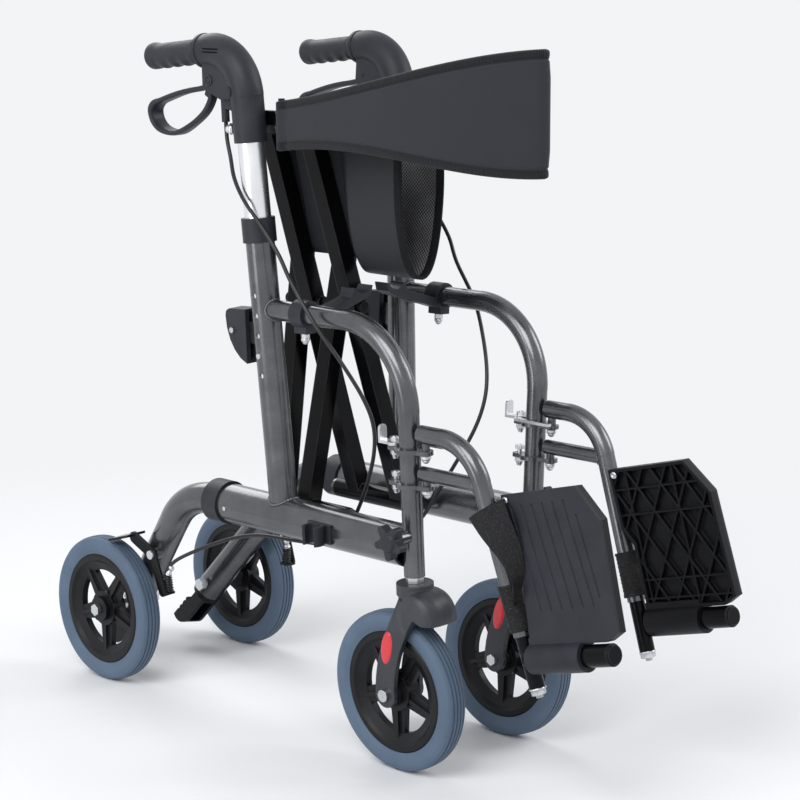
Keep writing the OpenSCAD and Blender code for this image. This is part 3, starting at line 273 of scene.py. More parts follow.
world = bpy.data.worlds.new("surround")
bpy.context.scene.world = world
world.use_nodes = True
world.node_tree.nodes.clear()
sky = Shading(world.node_tree)
rays = sky.node("ShaderNodeLightPath").outputs
seen = sky.calc("MAXIMUM", rays["Is Camera Ray"], rays["Is Transmission Ray"])
choose = sky.node("ShaderNodeMixShader")
sky.links.new(sky.calc("MAXIMUM", seen, rays["Is Glossy Ray"]), choose.inputs[0])
for socket, sky_colour in ((1, FILL), (2, PALE)):
    sky.links.new(sky.node("ShaderNodeBackground", Color=sky_colour).outputs[0], choose.inputs[socket])
sky.links.new(choose.outputs[0], sky.node("ShaderNodeOutputWorld").inputs["Surface"])

floor_paint = finish("floor_paint", Base_Color=(0.93, 0.94, 0.955, 1), Roughness=0.9,
                     Specular_IOR_Level=0.1)
far = floor_paint.node("ShaderNodeVectorMath", operation="LENGTH")
floor_paint.links.new(floor_paint.place(), far.inputs[0])
fade = floor_paint.node("ShaderNodeMapRange", interpolation_type="SMOOTHSTEP",
                        From_Min=FADE_FROM, From_Max=FADE_TO)
floor_paint.links.new(far.outputs["Value"], fade.inputs["Value"])
thin_out = floor_paint.node("ShaderNodeMixShader")
for socket, source in enumerate((fade, floor_paint.shader, floor_paint.node("ShaderNodeBsdfTransparent"))):
    floor_paint.links.new(source.outputs[0], thin_out.inputs[socket])
floor_paint.links.new(thin_out.outputs[0], floor_paint.nodes["Material Output"].inputs["Surface"])
ring_r = np.linspace(0.0, FLOOR_REACH, 12)[:, None]
ring_a = circle(64)[None, :]
floor = grid_mesh("floor", np.stack([ring_r * np.cos(ring_a), ring_r * np.sin(ring_a),
                                     0 * ring_r * ring_a + FLOOR_Z], -1), floor_paint, closed_v=True)


# Side frames: welded steel tubes (lower rail, upright, arm and front post, curved rear leg, footrest
# hanger), sprayed in a dark metallic grey and baked, so the coat has fine flakes and a little orange peel;
# welds show as rippled beads.
def effect(name, size, start, outputs):
    """An empty node group with a vector and one size to come in and the named values to go out."""
    group = bpy.data.node_groups.new(name, "ShaderNodeTree")
    group.interface.new_socket("Vector", in_out="INPUT", socket_type="NodeSocketVector")
    group.interface.new_socket(size, in_out="INPUT", socket_type="NodeSocketFloat").default_value = start
    for socket in outputs:
        group.interface.new_socket(socket, in_out="OUTPUT", socket_type="NodeSocketFloat")
    look = Shading(group)
    return group, look, look.node("NodeGroupInput").outputs, look.node("NodeGroupOutput").inputs


GRAIN, inside, entry, leave = effect("grain", "Scale", 900.0, ["Height", "Patch", "Fleck"])
fine = inside.node("ShaderNodeTexNoise", Detail=3.0, Roughness=0.6)
broad = inside.node("ShaderNodeTexNoise", Detail=4.0, Roughness=0.55)
dots = inside.node("ShaderNodeTexVoronoi", feature="F1")
for target, times in ((fine, 1.0), (broad, 0.02), (dots, 2.1)):
    inside.links.new(entry["Vector"], target.inputs["Vector"])
    inside.links.new(inside.calc("MULTIPLY", entry["Scale"], times), target.inputs["Scale"])
inside.links.new(fine.outputs[0], leave["Height"])
inside.links.new(broad.outputs[0], leave["Patch"])
inside.links.new(inside.spread(dots.outputs["Distance"], 0.30, 0.12), leave["Fleck"])


def dress(look, *names):
    """Puts a material on CAD nodes; a name without its side stands for the right and left node."""
    for name in names:
        for full in (name,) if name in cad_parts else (f"{name}_right", f"{name}_left"):
            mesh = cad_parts[full].data
            mesh.materials.clear()
            mesh.materials.append(look.material)


def grained(name, dark, light, scale, rough, depth, edge=0.0, rubbed_and_glint=None, **values):
    """A coat whose colour wanders from dark to light in broad patches, with a fine grain that raises the
    surface by depth and a roughness that follows the patches. With edge, corners are rounded by that much
    in the shading, and take a paler colour where the rounding turns the surface most: partly wear, and
    partly a painted highlight along the edges."""
    look = finish(name, **values)
    look.grain = look.group(GRAIN, look.place(), Scale=scale)
    patch = look.grain["Patch"]
    look.colour = look.mix(look.spread(patch, 0.32, 0.68), dark, light)
    look.feed("Roughness", look.spread(patch, 0.3, 0.7, *rough))
    normal = None
    if edge:
        normal = look.node("ShaderNodeBevel", samples=4, Radius=edge).outputs[0]
        turn = look.node("ShaderNodeVectorMath", operation="DOT_PRODUCT")
        look.links.new(normal, turn.inputs[0])
        look.links.new(look.node("ShaderNodeNewGeometry").outputs["True Normal"], turn.inputs[1])
        # Paler corners: partly wear and partly a painted highlight along the edges.
        wear_and_glint = look.calc("MULTIPLY", look.spread(turn.outputs["Value"], 0.97, 0.75, 0.0, 0.7), patch)
        look.colour = look.mix(wear_and_glint, look.colour, rubbed_and_glint)
    look.feed("Base Color", look.colour)
    look.bump(look.grain["Height"], depth, normal)
    return look


frame_paint = grained("frame_paint", (0.086, 0.088, 0.094), (0.120, 0.123, 0.130), 1400, (0.21, 0.29),
                      0.00002, Metallic=0.85, Coat_Weight=0.2, Coat_Roughness=0.06)
FLAKE = (0.34, 0.34, 0.355)
frame_paint.feed("Base Color", frame_paint.mix(frame_paint.grain["Fleck"], frame_paint.colour, FLAKE))
dress(frame_paint, "side_frame", "arm_tube", "rear_leg", "hanger_tube", "hanger_clamps")


def weld(base, axis, radius, main, main_axis, main_radius, bead=2.1):
    """The bead of a round branch on a round main tube: for each angle round the branch, the point along its
    axis that lies main_radius from the main tube's axis; a small circle with ripples is carried along that
    ring."""
    axis, main_axis = unit(axis), unit(main_axis)
    first = unit(np.cross(axis, main_axis))
    second = np.cross(axis, first)
    turn = circle(180)[:, None]
    ring = np.array(base) + radius * (np.cos(turn) * first + np.sin(turn) * second)
    apart = ring - np.array(main)
    apart -= (apart @ main_axis)[:, None] * main_axis
    slope = axis - (axis @ main_axis) * main_axis
    a, b, c = slope @ slope, apart @ slope, (apart * apart).sum(1) - main_radius**2
    line = ring + ((-b + np.sqrt(np.maximum(b * b - a * c, 0))) / a)[:, None] * axis
    away = unit(np.cross(np.roll(line, -1, 0) - np.roll(line, 1, 0), axis))
    thick = bead * (1 + 0.16 * np.sin(turn * 34))
    around = circle(10)[None, :, None]
    return line[:, None] + thick[:, None] * (np.cos(around) * away[:, None] + np.sin(around) * axis)


FORWARD, BACKWARD = (0, 1, 0), (0, -1, 0)
UPRIGHT_UP = (0, -np.sin(UPRIGHT_LEAN), np.cos(UPRIGHT_LEAN))
LEG_DOWN = np.array((0, np.sin(LEG_LEAN), -np.cos(LEG_LEAN)))
upright_foot = (0, UPRIGHT_F, RAIL_H)
frame_beads = [weld((0, 334, 547.5), FORWARD, ARM_R, upright_foot, UPRIGHT_UP, UPRIGHT_R),
               weld(upright_foot, UPRIGHT_UP, UPRIGHT_R, (0, 0, RAIL_H), FORWARD, RAIL_R)]
hanger_beads = [weld((0, 692.7, 378), BACKWARD, 9.0, (0, LEG_F, LEG_H), LEG_DOWN, LEG_R, 1.6)]
WELDS = (("frame_welds", "frame", frame_beads), ("hanger_weld", "hanger", hanger_beads))
for s, side in SIDES:
    for name, body, beads in WELDS:
        bead = grid_mesh(f"{name}_{side}", [in_side(s, ring) for ring in beads], frame_paint,
                         closed_u=True, closed_v=True, solid=True)
        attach(bead, f"{side}_{body}")

# Folding braces, seat tubes and band arms: square and round steel tube in gloss black powder coat.
# The pale colour on its corners is mostly a painted highlight: the thin bright lines along gloss edges.
black_coat = grained("black_coat", (0.0022, 0.0022, 0.0028), (0.0045, 0.0045, 0.0056), 620, (0.14, 0.24),
                     0.00004, edge=0.0026, rubbed_and_glint=(0.15, 0.152, 0.165), Specular_IOR_Level=0.12)
dress(black_coat, "brace_a", "brace_b", "extension_tube", "band_arm", "brake_arm")

# Moulded parts: collars, clips, housings, levers, forks and rims in black plastic from tools with a
# spark-eroded grain; corners are slightly rounded and a little paler, partly where hands and feet rub them
# and partly as a painted highlight along the edges.
moulded = grained("moulded", (0.018, 0.0190, 0.0255), (0.029, 0.0302, 0.039), 1500, (0.40, 0.54), 0.00006,
                  edge=0.0012, rubbed_and_glint=(0.070, 0.072, 0.084), Specular_IOR_Level=0.27)
dress(moulded, "frame_fittings", "handle_housing", "brake_lever", "height_lever", "star_knob")
fork_plastic = grained("fork_plastic", (0.022, 0.0232, 0.0305), (0.034, 0.0355, 0.045), 1500, (0.30, 0.42),
                       0.00005, edge=0.0024, rubbed_and_glint=(0.085, 0.088, 0.10), Specular_IOR_Level=0.42)
dress(fork_plastic, "caster_fork")
rim_plastic = grained("rim_plastic", (0.0045, 0.0046, 0.0056), (0.0085, 0.0086, 0.0102), 1300, (0.34, 0.46),
                      0.00004, edge=0.001, rubbed_and_glint=(0.040, 0.041, 0.046), Specular_IOR_Level=0.22)
dress(rim_plastic, "rear_rim", "front_rim", "kerb_pedal")

# Footplates: ribbed boards in black plastic with a fine matt grain on the tread; the underside between the
# ribs, where the moulding is smoother, is painted near black as painted shade for the hollow under the ribs.
# The near-black colour on the next line is painted shade for the underside between the ribs.
UNDERSIDE_SHADE, TREAD_FROM, TREAD_TO = (0.0035, 0.0036, 0.0046), 0.0018, 0.0034
plate_plastic = grained("plate_plastic", (0.017, 0.018, 0.0245), (0.026, 0.0272, 0.0355), 1700, (0.42, 0.56),
                        0.00006, edge=0.0022, rubbed_and_glint=(0.075, 0.078, 0.092), Specular_IOR_Level=0.22)
plate_rise = np.sin(PLATE_LEAN) * np.cos(PLATE_TILT)
tread_dir = np.array((np.cos(PLATE_LEAN) * np.cos(CANT) + plate_rise * np.sin(CANT),
                      np.sin(PLATE_LEAN) * np.sin(PLATE_TILT),
                      plate_rise * np.cos(CANT) - np.cos(PLATE_LEAN) * np.sin(CANT)))
spot = plate_plastic.split(plate_plastic.place())
level = plate_plastic.calc("MULTIPLY", plate_plastic.calc("ABSOLUTE", spot[0]), float(tread_dir[0]))
for axis in (1, 2):
    part = plate_plastic.calc("MULTIPLY", spot[axis], float(tread_dir[axis]))
    level = plate_plastic.calc("ADD", level, part)
hinge_level = float(in_side(1, PLATE_HINGE) @ tread_dir)
tread = plate_plastic.spread(level, hinge_level + TREAD_FROM, hinge_level + TREAD_TO)
# Below the tread the colour goes over to the painted shade.
plate_plastic.feed("Base Color", plate_plastic.mix(tread, UNDERSIDE_SHADE, plate_plastic.colour))
dress(plate_plastic, "footplate")

# Bright metal: handle tubes in satin silver, and zinc plated bolts, nuts, stems and latches.
silver = grained("silver", (0.80, 0.81, 0.83), (0.89, 0.90, 0.92), 700, (0.24, 0.34), 0.00002, Metallic=1.0)
dress(silver, "handle_tube")
zinc = grained("zinc", (0.52, 0.53, 0.55), (0.70, 0.71, 0.73), 900, (0.22, 0.38), 0.00003, edge=0.0006,
               rubbed_and_glint=(0.82, 0.83, 0.84), Metallic=1.0)
dress(zinc, "frame_bolts", "caster_stem", "hanger_latch")


def turned(base, axis, profile, corners=0, sides=48):
    """A turned piece: the profile (radius, run, angular) goes round the axis from base. Where angular is 1
    the circle of that row becomes a polygon of that many corners, radius being half its width over the
    flats."""
    axis = unit(axis)
    first = unit(np.cross(axis, (0.31, 0.52, 0.8)))
    second = np.cross(axis, first)
    radius, run, angular = np.array(profile, float).T[:, :, None]
    turn = circle(sides)
    step = 2 * np.pi / max(corners, 1)
    flat = 1 / np.cos((turn % step) - step / 2) if corners else np.ones(sides)
    reach = (radius * (1 + angular * (flat[None] - 1)))[..., None]
    return np.array(base, float) + run[..., None] * axis + reach * (
        np.cos(turn)[:, None] * first + np.sin(turn)[:, None] * second)


def cap_nut(base, axis, size):
    """A domed hexagon nut: six flats, a chamfer to the collar, then a ball end."""
    ball = [(0.86 * size * np.cos(a), 0.95 * size + 0.86 * size * np.sin(a), 0)
            for a in np.radians(np.linspace(0, 88, 9))]
    return turned(base, axis, [
        (0.05, 0, 0), (0.93 * size, 0, 0), (size, 0.06 * size, 1), (size, 0.8 * size, 1),
        (0.92 * size, 0.92 * size, 0), *ball, (0.02, 1.81 * size, 0)], 6)


def pan_head(base, axis, size):
    """A round screw head: a low dome with a soft edge and a shallow dimple where the driver goes."""
    return turned(base, axis, [
        (0.05, -1, 0), (size, -1, 0), (size, 0.35 * size, 0), (0.93 * size, 0.5 * size, 0),
        (0.72 * size, 0.62 * size, 0), (0.4 * size, 0.66 * size, 0), (0.36 * size, 0.3 * size, 1),
        (0.02, 0.26 * size, 0)], 4)


def socket_head(base, axis, size):
    """A flush cap with a hexagon socket sunk in it."""
    return turned(base, axis, [
        (0.05, -2, 0), (size, -2, 0), (size, 0.7, 0), (0.93 * size, 1.1, 0), (0.7 * size, 1.1, 0),
        (0.62 * size, 0.9, 1), (0.58 * size, -1.4, 1), (0.02, -1.4, 0)], 6)


DOWN = (0, 0, -1)
NUTS = (("frame_nuts", "frame", [cap_nut((0, 404, 518.4), DOWN, 4.8)]),
        ("hanger_nuts", "hanger", [cap_nut((0, 604, h), DOWN, 5.6) for h in (400.9, 358.9)]),
        ("handle_nut", "handle", [cap_nut((8.8, 301.2, 768), (0.5, -0.86, 0), 6.2)]))
for s, side in SIDES:
    for name, body, parts in NUTS:
        nuts = grid_mesh(f"{name}_{side}", [in_side(s, part) for part in parts], zinc,
                         closed_v=True, solid=True)
        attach(nuts, f"{side}_{body}")

# Handle details: hexagon sockets of the lever's pivot and of the screw that holds the two housing halves,
# and near-black sheets laid on the housing as painted shade for the pair of slots beside the grip's flange
# that let the moulding's core out.
ELBOW_F, ELBOW_H, ELBOW_R, HOUSING_R = 260.2, 804.6, 58.0, 20.85
SLOT_F, SLOT_HALF, SLOT_HALF_WIDE, SLOT_LIFT = 276.6, 14.4, 0.95, 0.12
# A near-black sheet laid just over the housing: painted shade standing for the open slots.
slot_shade_black = grained("slot_shade_black", (0.001, 0.001, 0.0012), (0.003, 0.003, 0.0035), 900, (0.6, 0.8), 0.00005,
                     Specular_IOR_Level=0.1)
slot_run = np.linspace(-1, 1, 41)[:, None]
slot_rise = np.linspace(-1, 1, 7)[None]
heads = [socket_head((12.6, *LEVER_PIVOT), (1, 0, 0), 7.0),
         socket_head((18.7, 306.2, 813.6), (0.893, -0.445, -0.088), 6.4)]
marks = []
for height in (865.3, 861.4):
    along = SLOT_F + SLOT_HALF * slot_run + 0 * slot_rise
    rise = height - 0.02 * (along - 262) + SLOT_HALF_WIDE * slot_rise * np.sqrt(1 - slot_run**8)
    off = np.hypot(along - ELBOW_F, rise - ELBOW_H) - ELBOW_R
    marks.append(np.stack([np.sqrt(HOUSING_R**2 - off**2) + SLOT_LIFT, along, rise], -1))
for s, side in SIDES:
    sockets = grid_mesh(f"handle_sockets_{side}", [in_side(s, head) for head in heads], moulded,
                        closed_v=True, solid=True)
    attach(sockets, f"{side}_handle")
    slot_shade_sheet = grid_mesh(f"handle_slots_{side}", [in_side(s, mark) for mark in marks], slot_shade_black, turn=s > 0)
    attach(slot_shade_sheet, f"{side}_handle")

# Grips: soft black rubber sleeves pushed on the housing's stub, with finger waves below, a collar at the
# flange, a swollen end and a curved parting line where the palm rest begins.
ELBOW_TURN, ELBOW_RISE = np.radians(91.5), 524.0
GRIP_START, GRIP_END, GRIP_R, GRIP_ROUND = 14.4, 118.2, 15.6, 7.0
FINGER_FROM, FINGER_TO, FINGER_PITCH, FINGER_FADE = 24.0, 104.0, 21.0, 8.0
grip_rubber = grained("grip_rubber", (0.018, 0.0188, 0.0245), (0.031, 0.032, 0.040), 1100, (0.46, 0.6),
                      0.00012, Specular_IOR_Level=0.3)


def on_grip(s, points):
    """Points (x, y, z) at the end of the handle's elbow in the part's metres: z along the grip, y down,
    x outward."""
    x, y, z = np.moveaxis(np.asarray(points, float), -1, 0)
    rise = ELBOW_RISE + ELBOW_R * np.sin(ELBOW_TURN) - y * np.sin(ELBOW_TURN) + z * np.cos(ELBOW_TURN)
    rear = ELBOW_R * (1 - np.cos(ELBOW_TURN)) + y * np.cos(ELBOW_TURN) + z * np.sin(ELBOW_TURN)
    f = UPRIGHT_F - rear * np.cos(UPRIGHT_LEAN) - rise * np.sin(UPRIGHT_LEAN)
    h = RAIL_H - rear * np.sin(UPRIGHT_LEAN) + rise * np.cos(UPRIGHT_LEAN)
    return in_side(s, np.stack([x, f, h], -1))


round_from = GRIP_END - GRIP_ROUND
grip_z = np.concatenate([np.linspace(GRIP_START, round_from, 130),
                         round_from + GRIP_ROUND * np.sin(np.linspace(0, np.pi / 2, 22)[1:])])
z, a = grip_z[:, None], circle(96)[None]
held = np.clip((z - FINGER_FROM) / FINGER_FADE, 0, 1) * np.clip((FINGER_TO - z) / FINGER_FADE, 0, 1)
waves = np.cos((z - FINGER_FROM) * 2 * np.pi / FINGER_PITCH)
fingers = 0.9 * np.clip(np.sin(a), 0, 1) ** 0.7 * waves * held
collar = 1.5 * bell(z, GRIP_START + 3, 3.2, 4) - 0.7 * bell(z, GRIP_START + 9, 1.2)
swell = 1.3 * bell(z, GRIP_END - 9, 9) * (1 + 0.5 * np.cos(a + np.pi / 2))
parting = -0.7 * bell(z, 66 + 34 * np.cos(a - 0.6), 1.1) * np.clip(-np.sin(a - 1.1) + 0.5, 0, 1)
ends = np.sqrt(np.clip(1 - np.clip((z - round_from) / GRIP_ROUND, 0, 1) ** 2, 0, 1))
radius = (GRIP_R + fingers + collar + swell + parting) * (0.35 + 0.65 * ends)
radius[-2:] *= 0.02
radius[0] *= 0.66
grip_points = np.stack([radius * np.cos(a), radius * np.sin(a), np.broadcast_to(z, radius.shape)], -1)
for s, side in SIDES:
    grip = grid_mesh(f"hand_grip_{side}", on_grip(s, grip_points), grip_rubber, closed_v=True, solid=True)
    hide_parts(f"grip_{side}")
    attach(grip, f"{side}_handle")


# Brake levers: a loop of black moulded plastic like a flat strap, wide at its far end for four fingers,
# that turns on the pivot between the housing's cheeks.
def smooth_line(points, steps, closed=False):
    """A curve through the points: each span is the cubic that leaves and arrives along the line between the
    neighbours of its ends, sampled in steps."""
    p = np.asarray(points, float)
    if closed:
        p = np.concatenate([p[-1:], p, p[:2]])
    else:
        p = np.concatenate([2 * p[:1] - p[1:2], p, 2 * p[-1:] - p[-2:-1]])
    t = (np.arange(steps) / steps)[None, :, None]
    a, b, c, d = (p[i:len(p) - 3 + i][:, None, :] for i in range(4))
    spans = 2 * b + (c - a) * t + (2 * a - 5 * b + 4 * c - d) * t**2 + (3 * b - a - 3 * c + d) * t**3
    spans = 0.5 * spans.reshape(-1, p.shape[1])
    return spans if closed else np.concatenate([spans, p[-2:-1]])


LEVER_LOOP = [
    (247, 816), (228, 814), (208, 811.2), (186, 806.5), (161, 799.5), (146, 794.8), (138.5, 785.5),
    (142, 772), (154, 762), (173, 758), (191, 760), (216, 771), (237, 784), (248.5, 796), (254, 808)]
LEVER_ROOT = [(248, 806), (253, 815), LEVER_PIVOT]
LEVER_BOSS = [(0.05, 0, 0), (9.2, 0, 0), (10, 0.8, 0), (10, 14.4, 0), (9.2, 15.2, 0), (0.05, 15.2, 0)]
OVAL = 24
corner = circle(OVAL)
oval_u = np.sign(np.cos(corner)) * np.abs(np.cos(corner)) ** 0.5
oval_n = np.sign(np.sin(corner)) * np.abs(np.sin(corner)) ** 0.6


def strap_along(line, ahead, half_wide, half_thick):
    """A flat strap with rounded corners carried along a line (f, h): half_wide is its reach along u and
    half_thick its reach across the line."""
    aside = np.stack([ahead[:, 1], -ahead[:, 0]], -1)
    flat = line[:, None] + (half_thick[:, None] * oval_n)[..., None] * aside[:, None]
    return np.concatenate([(half_wide[:, None] * oval_u)[..., None], flat], -1)


lever_line = smooth_line(LEVER_LOOP, 8, closed=True)
lever_ahead = unit(np.roll(lever_line, -1, 0) - np.roll(lever_line, 1, 0))
hook = np.exp(-((lever_line[:, 0] - 142) ** 2 + (lever_line[:, 1] - 791) ** 2) / 120.0)
widen = ease(225 - lever_line[:, 0], 0, 60)
loop = strap_along(lever_line, lever_ahead, 6.2 + 5.2 * widen, 3.4 + 1.5 * hook)
root_line = smooth_line(LEVER_ROOT, 8)
root_steps = len(root_line)
root = strap_along(root_line, unit(np.gradient(root_line, axis=0)), np.full(root_steps, 6.0),
                   np.linspace(5.5, 8.5, root_steps))
root_ends = root.mean(1, keepdims=True).repeat(OVAL, 1)
root = np.concatenate([root_ends[:1], root, root_ends[-1:]])
boss = turned((-7.6, *LEVER_PIVOT), (1, 0, 0), LEVER_BOSS)
for s, side in SIDES:
    lever = grid_mesh(f"lever_loop_{side}", in_side(s, loop), moulded,
                      closed_u=True, closed_v=True, solid=True)
    hub = grid_mesh(f"lever_hub_{side}", [in_side(s, boss), in_side(s, root)], moulded,
                    closed_v=True, solid=True)
    for piece in (lever, hub):
        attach(piece, f"{side}_brake_lever")
    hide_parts(f"brake_lever_{side}")

# Tyres: solid polyurethane, grey-blue, matt, with the faint haze that handling leaves on it.
tyre_rubber = grained("tyre_rubber", (0.082, 0.120, 0.178), (0.104, 0.148, 0.214), 800, (0.52, 0.66),
                      0.00005, Specular_IOR_Level=0.3)
dress(tyre_rubber, "rear_tyre", "front_tyre")

# Fork reflectors: oval red acrylic lenses with rows of small prisms, pressed into the outer and inner arm
# faces.
LENS_F, LENS_H, LENS_TALL, LENS_WIDE, LENS_TILT = 551.0, 161.0, 21.5, 9.0, np.radians(12.0)
LENS_FACE = 25.0
lens_red = finish("lens_red", Roughness=0.22, Coat_Weight=0.4, Coat_Roughness=0.05)
prisms = lens_red.node("ShaderNodeTexVoronoi", feature="F1", Scale=420.0, Randomness=0.15)
lens_red.links.new(lens_red.chart("lens"), prisms.inputs["Vector"])
lens_red.feed("Base Color", lens_red.mix(lens_red.spread(prisms.outputs["Distance"], 0.1, 0.7),
                                         (0.78, 0.022, 0.036), (0.46, 0.006, 0.012)))
lens_red.bump(prisms.outputs["Distance"], 0.0003)
lens_r = np.linspace(0, 1, 12)[:, None]
lens_a = circle(64)[None]
lens_x, lens_y = LENS_WIDE * lens_r * np.cos(lens_a), LENS_TALL * lens_r * np.sin(lens_a)
lens_out = 0.35 + 1.1 * np.sqrt(np.clip(1 - lens_r**4, 0, 1)) - 0.5 * (lens_r > 0.999) + 0 * lens_a
for s, side in SIDES:
    for name, way in (("outer", 1), ("inner", -1)):
        face = np.stack([way * (LENS_FACE + lens_out),
                         LENS_F + way * lens_x * np.cos(LENS_TILT) + lens_y * np.sin(LENS_TILT),
                         LENS_H + lens_y * np.cos(LENS_TILT) - way * lens_x * np.sin(LENS_TILT)], -1)
        lens = grid_mesh(f"reflector_{name}_{side}", in_side(s, face), lens_red, closed_v=True, turn=s < 0,
                         uv={"lens": np.stack([lens_x, lens_y], -1) / 1000})
        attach(lens, f"{side}_caster")


# Brake cables: a steel wire in a black jacket, held by the lever housing at the top and by a zinc adjuster
# with a rubber bellows at the brake arm; in between the cable hangs in its own loose curve.
def tube(name, line, look, radius, sides):
    """A round profile carried along a line: at each point the circle lies across the line's direction, and
    the radius may change along it. Its first and last ring close to a point."""
    radius = np.concatenate([[1e-5], np.broadcast_to(radius, len(line)), [1e-5]])
    line = np.concatenate([line[:1], line, line[-1:]])
    along = np.gradient(line, axis=0)
    along[0], along[-1] = line[2] - line[0], line[-1] - line[-3]
    along = unit(along)
    first = unit(np.cross(along, (1.0, 0.0, 0.0)))
    second = np.cross(along, first)
    angle = circle(sides)[None, :, None]
    rings = line[:, None] + radius[:, None, None] * (
        np.cos(angle) * first[:, None] + np.sin(angle) * second[:, None])
    return grid_mesh(name, rings, look, closed_v=True, solid=True)


cable_jacket = grained("cable_jacket", (0.010, 0.010, 0.011), (0.018, 0.018, 0.019), 1600, (0.34, 0.46),
                       0.00003, Specular_IOR_Level=0.4)
CABLE_ROUTE = [
    (0, 276, 774.5), (0, 276, 768), (1, 278, 752), (4, 286, 732), (14, 303, 708), (23.5, 331, 683),
    (26, 366, 652), (26, 392, 622), (24, 410, 590), (22, 446, 543), (9, 476, 497), (-4, 496, 456),
    (-14, 502, 422), (-22, 494, 386), (-30, 472, 342), (-35, 446, 300), (-36, 418, 261), (-35, 380, 246),
    (-34, 330, 241), (-33, 260, 236), (-31, 204, 222), (-20, 150, 200), (-2, 122, 184), (8, 114, 171),
    (8, 114, 163)]
ADJUSTER = [
    (0.05, 0, 0), (4.8, 0, 0), (4.8, 1.4, 0), (3.9, 1.5, 1), (3.9, 4.6, 1), (3.4, 5, 0), (3.4, 8.6, 0),
    (4.3, 8.8, 0), (4.3, 12.4, 0), (3.2, 13.4, 0), (2.7, 14, 0), (0.05, 14, 0)]
BOOT_TOP, BOOT_LOW, BOOT_FOLD = 164.5, 142.8, 3.6
cable_line = smooth_line(CABLE_ROUTE, 6)
boot_h = np.linspace(BOOT_TOP, BOOT_LOW, 45)
boot_r = np.linspace(5.0, 6.4, 45) + 0.9 * np.cos((boot_h - BOOT_LOW) * 2 * np.pi / BOOT_FOLD)
boot_line = np.stack([np.full(45, 8.0), np.full(45, 114.0), boot_h], -1)
adjuster_points = turned((8, 114, 164), cable_line[-12] - cable_line[-2], ADJUSTER, 6)
for s, side in SIDES:
    line = in_side(s, cable_line)
    cable = tube(f"brake_cable_jacket_{side}", line, cable_jacket, 0.0025, 14)
    boot = tube(f"cable_boot_{side}", in_side(s, boot_line), cable_jacket, boot_r / 1000, 20)
    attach(boot, f"{side}_frame")
    adjuster = grid_mesh(f"cable_adjuster_{side}", in_side(s, adjuster_points), zinc,
                         closed_v=True, solid=True)
    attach(adjuster, f"{side}_frame")
    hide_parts(f"brake_cable_{side}")
    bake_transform(cable)

# Seat sling: black nylon with a grey net lining, sewn into a sleeve on each seat tube; folded, it hangs
# between the tubes in a deep loop, held in by the brace arms at the rear and free in front of them, with
# taped edges.
CLOTH_HALF, TUBE_X, TUBE_Z, SLEEVE_R, SLING_LOW = 1.1, 48.214, 766.649, 14.5, 587.0
SLING_REAR, SLING_FRONT, HELD_TO, FREE_FROM = 282.0, 490.0, 374.0, 398.0
HALF, WHOLE = 90, 179
HELD_LINE = [
    (33.9, 760), (32.2, 752), (26, 723), (17.2, 682), (9.9, 648), (3.8, 619), (1.7, 610), (0, 605.5)]


def even(points, count):
    """The same line with count points at equal distances along it."""
    run = run_along(points)
    at = np.linspace(0, run[-1], count)
    return np.stack([np.interp(at, run, points[:, i]) for i in range(points.shape[1])], -1)


def bezier(corners, count):
    """The cubic curve that four corner points pull, sampled evenly in its own parameter."""
    t = np.linspace(0, 1, count)[:, None]
    a, b, c, d = np.array(corners, float)
    return a * (1 - t)**3 + 3 * b * t * (1 - t)**2 + 3 * c * t**2 * (1 - t) + d * t**3


turn = np.radians(np.linspace(-35, 178, 30))
sleeve = np.stack([TUBE_X + SLEEVE_R * np.cos(turn), TUBE_Z + SLEEVE_R * np.sin(turn)], -1)
free_line = bezier((
    (TUBE_X - SLEEVE_R + 0.4, TUBE_Z - 12), (TUBE_X - 6, TUBE_Z - 0.42 * (TUBE_Z - SLING_LOW)),
    (TUBE_X - 18, SLING_LOW), (0, SLING_LOW)), 60)
across = np.concatenate([np.arange(HALF), np.arange(HALF - 2, -1, -1)])
free_cross = even(np.concatenate([sleeve, free_line]), HALF)[across]
held_cross = even(np.concatenate([sleeve, smooth_line(HELD_LINE, 8)]), HALF)[across]
sign = np.where(np.arange(WHOLE) < HALF, -1.0, 1.0)
mirror_x = np.stack([sign, np.ones(WHOLE)], -1)


def sling_skin(f, offset):
    """Points of the sling at each f in the part's metres: the held cross line (x, h) behind, the free one
    in front, small ripples across the free part where the cloth is slack, then a step of offset along the
    line's own normal."""
    loose = ease(f, HELD_TO, FREE_FROM)[:, None, None]
    line = held_cross[None] * (1 - loose) + free_cross[None] * loose
    slack = ease(TUBE_Z - line[..., 1], 20, 90) * loose[..., 0]
    ripple = np.sin(f / 15.0 + 0.8)[:, None] * np.sin(np.linspace(0, 3 * np.pi, WHOLE))[None] ** 2
    line = line * mirror_x[None]
    line[..., 0] += 0.9 * ripple * slack
    ahead = unit(np.gradient(line, axis=1))
    line = line + offset[:, None, None] * np.stack([-ahead[..., 1], ahead[..., 0]], -1)
    rear = np.broadcast_to((AXLE_Y - f)[:, None], line.shape[:2])
    return np.stack([line[..., 0], rear, line[..., 1]], -1) / 1000


WEAVE, inside, entry, leave = effect("weave", "Pitch", 0.001, ["Height", "Over"])
threads = []
for run in list(inside.split(entry["Vector"]))[:2]:
    count = inside.calc("DIVIDE", run, entry["Pitch"])
    threads.append(inside.calc("SINE", inside.calc("MULTIPLY", count, float(np.pi))))
over = inside.calc("MULTIPLY", *threads)
inside.links.new(inside.calc("ABSOLUTE", over), leave["Height"])
inside.links.new(inside.spread(over, -0.4, 0.4), leave["Over"])


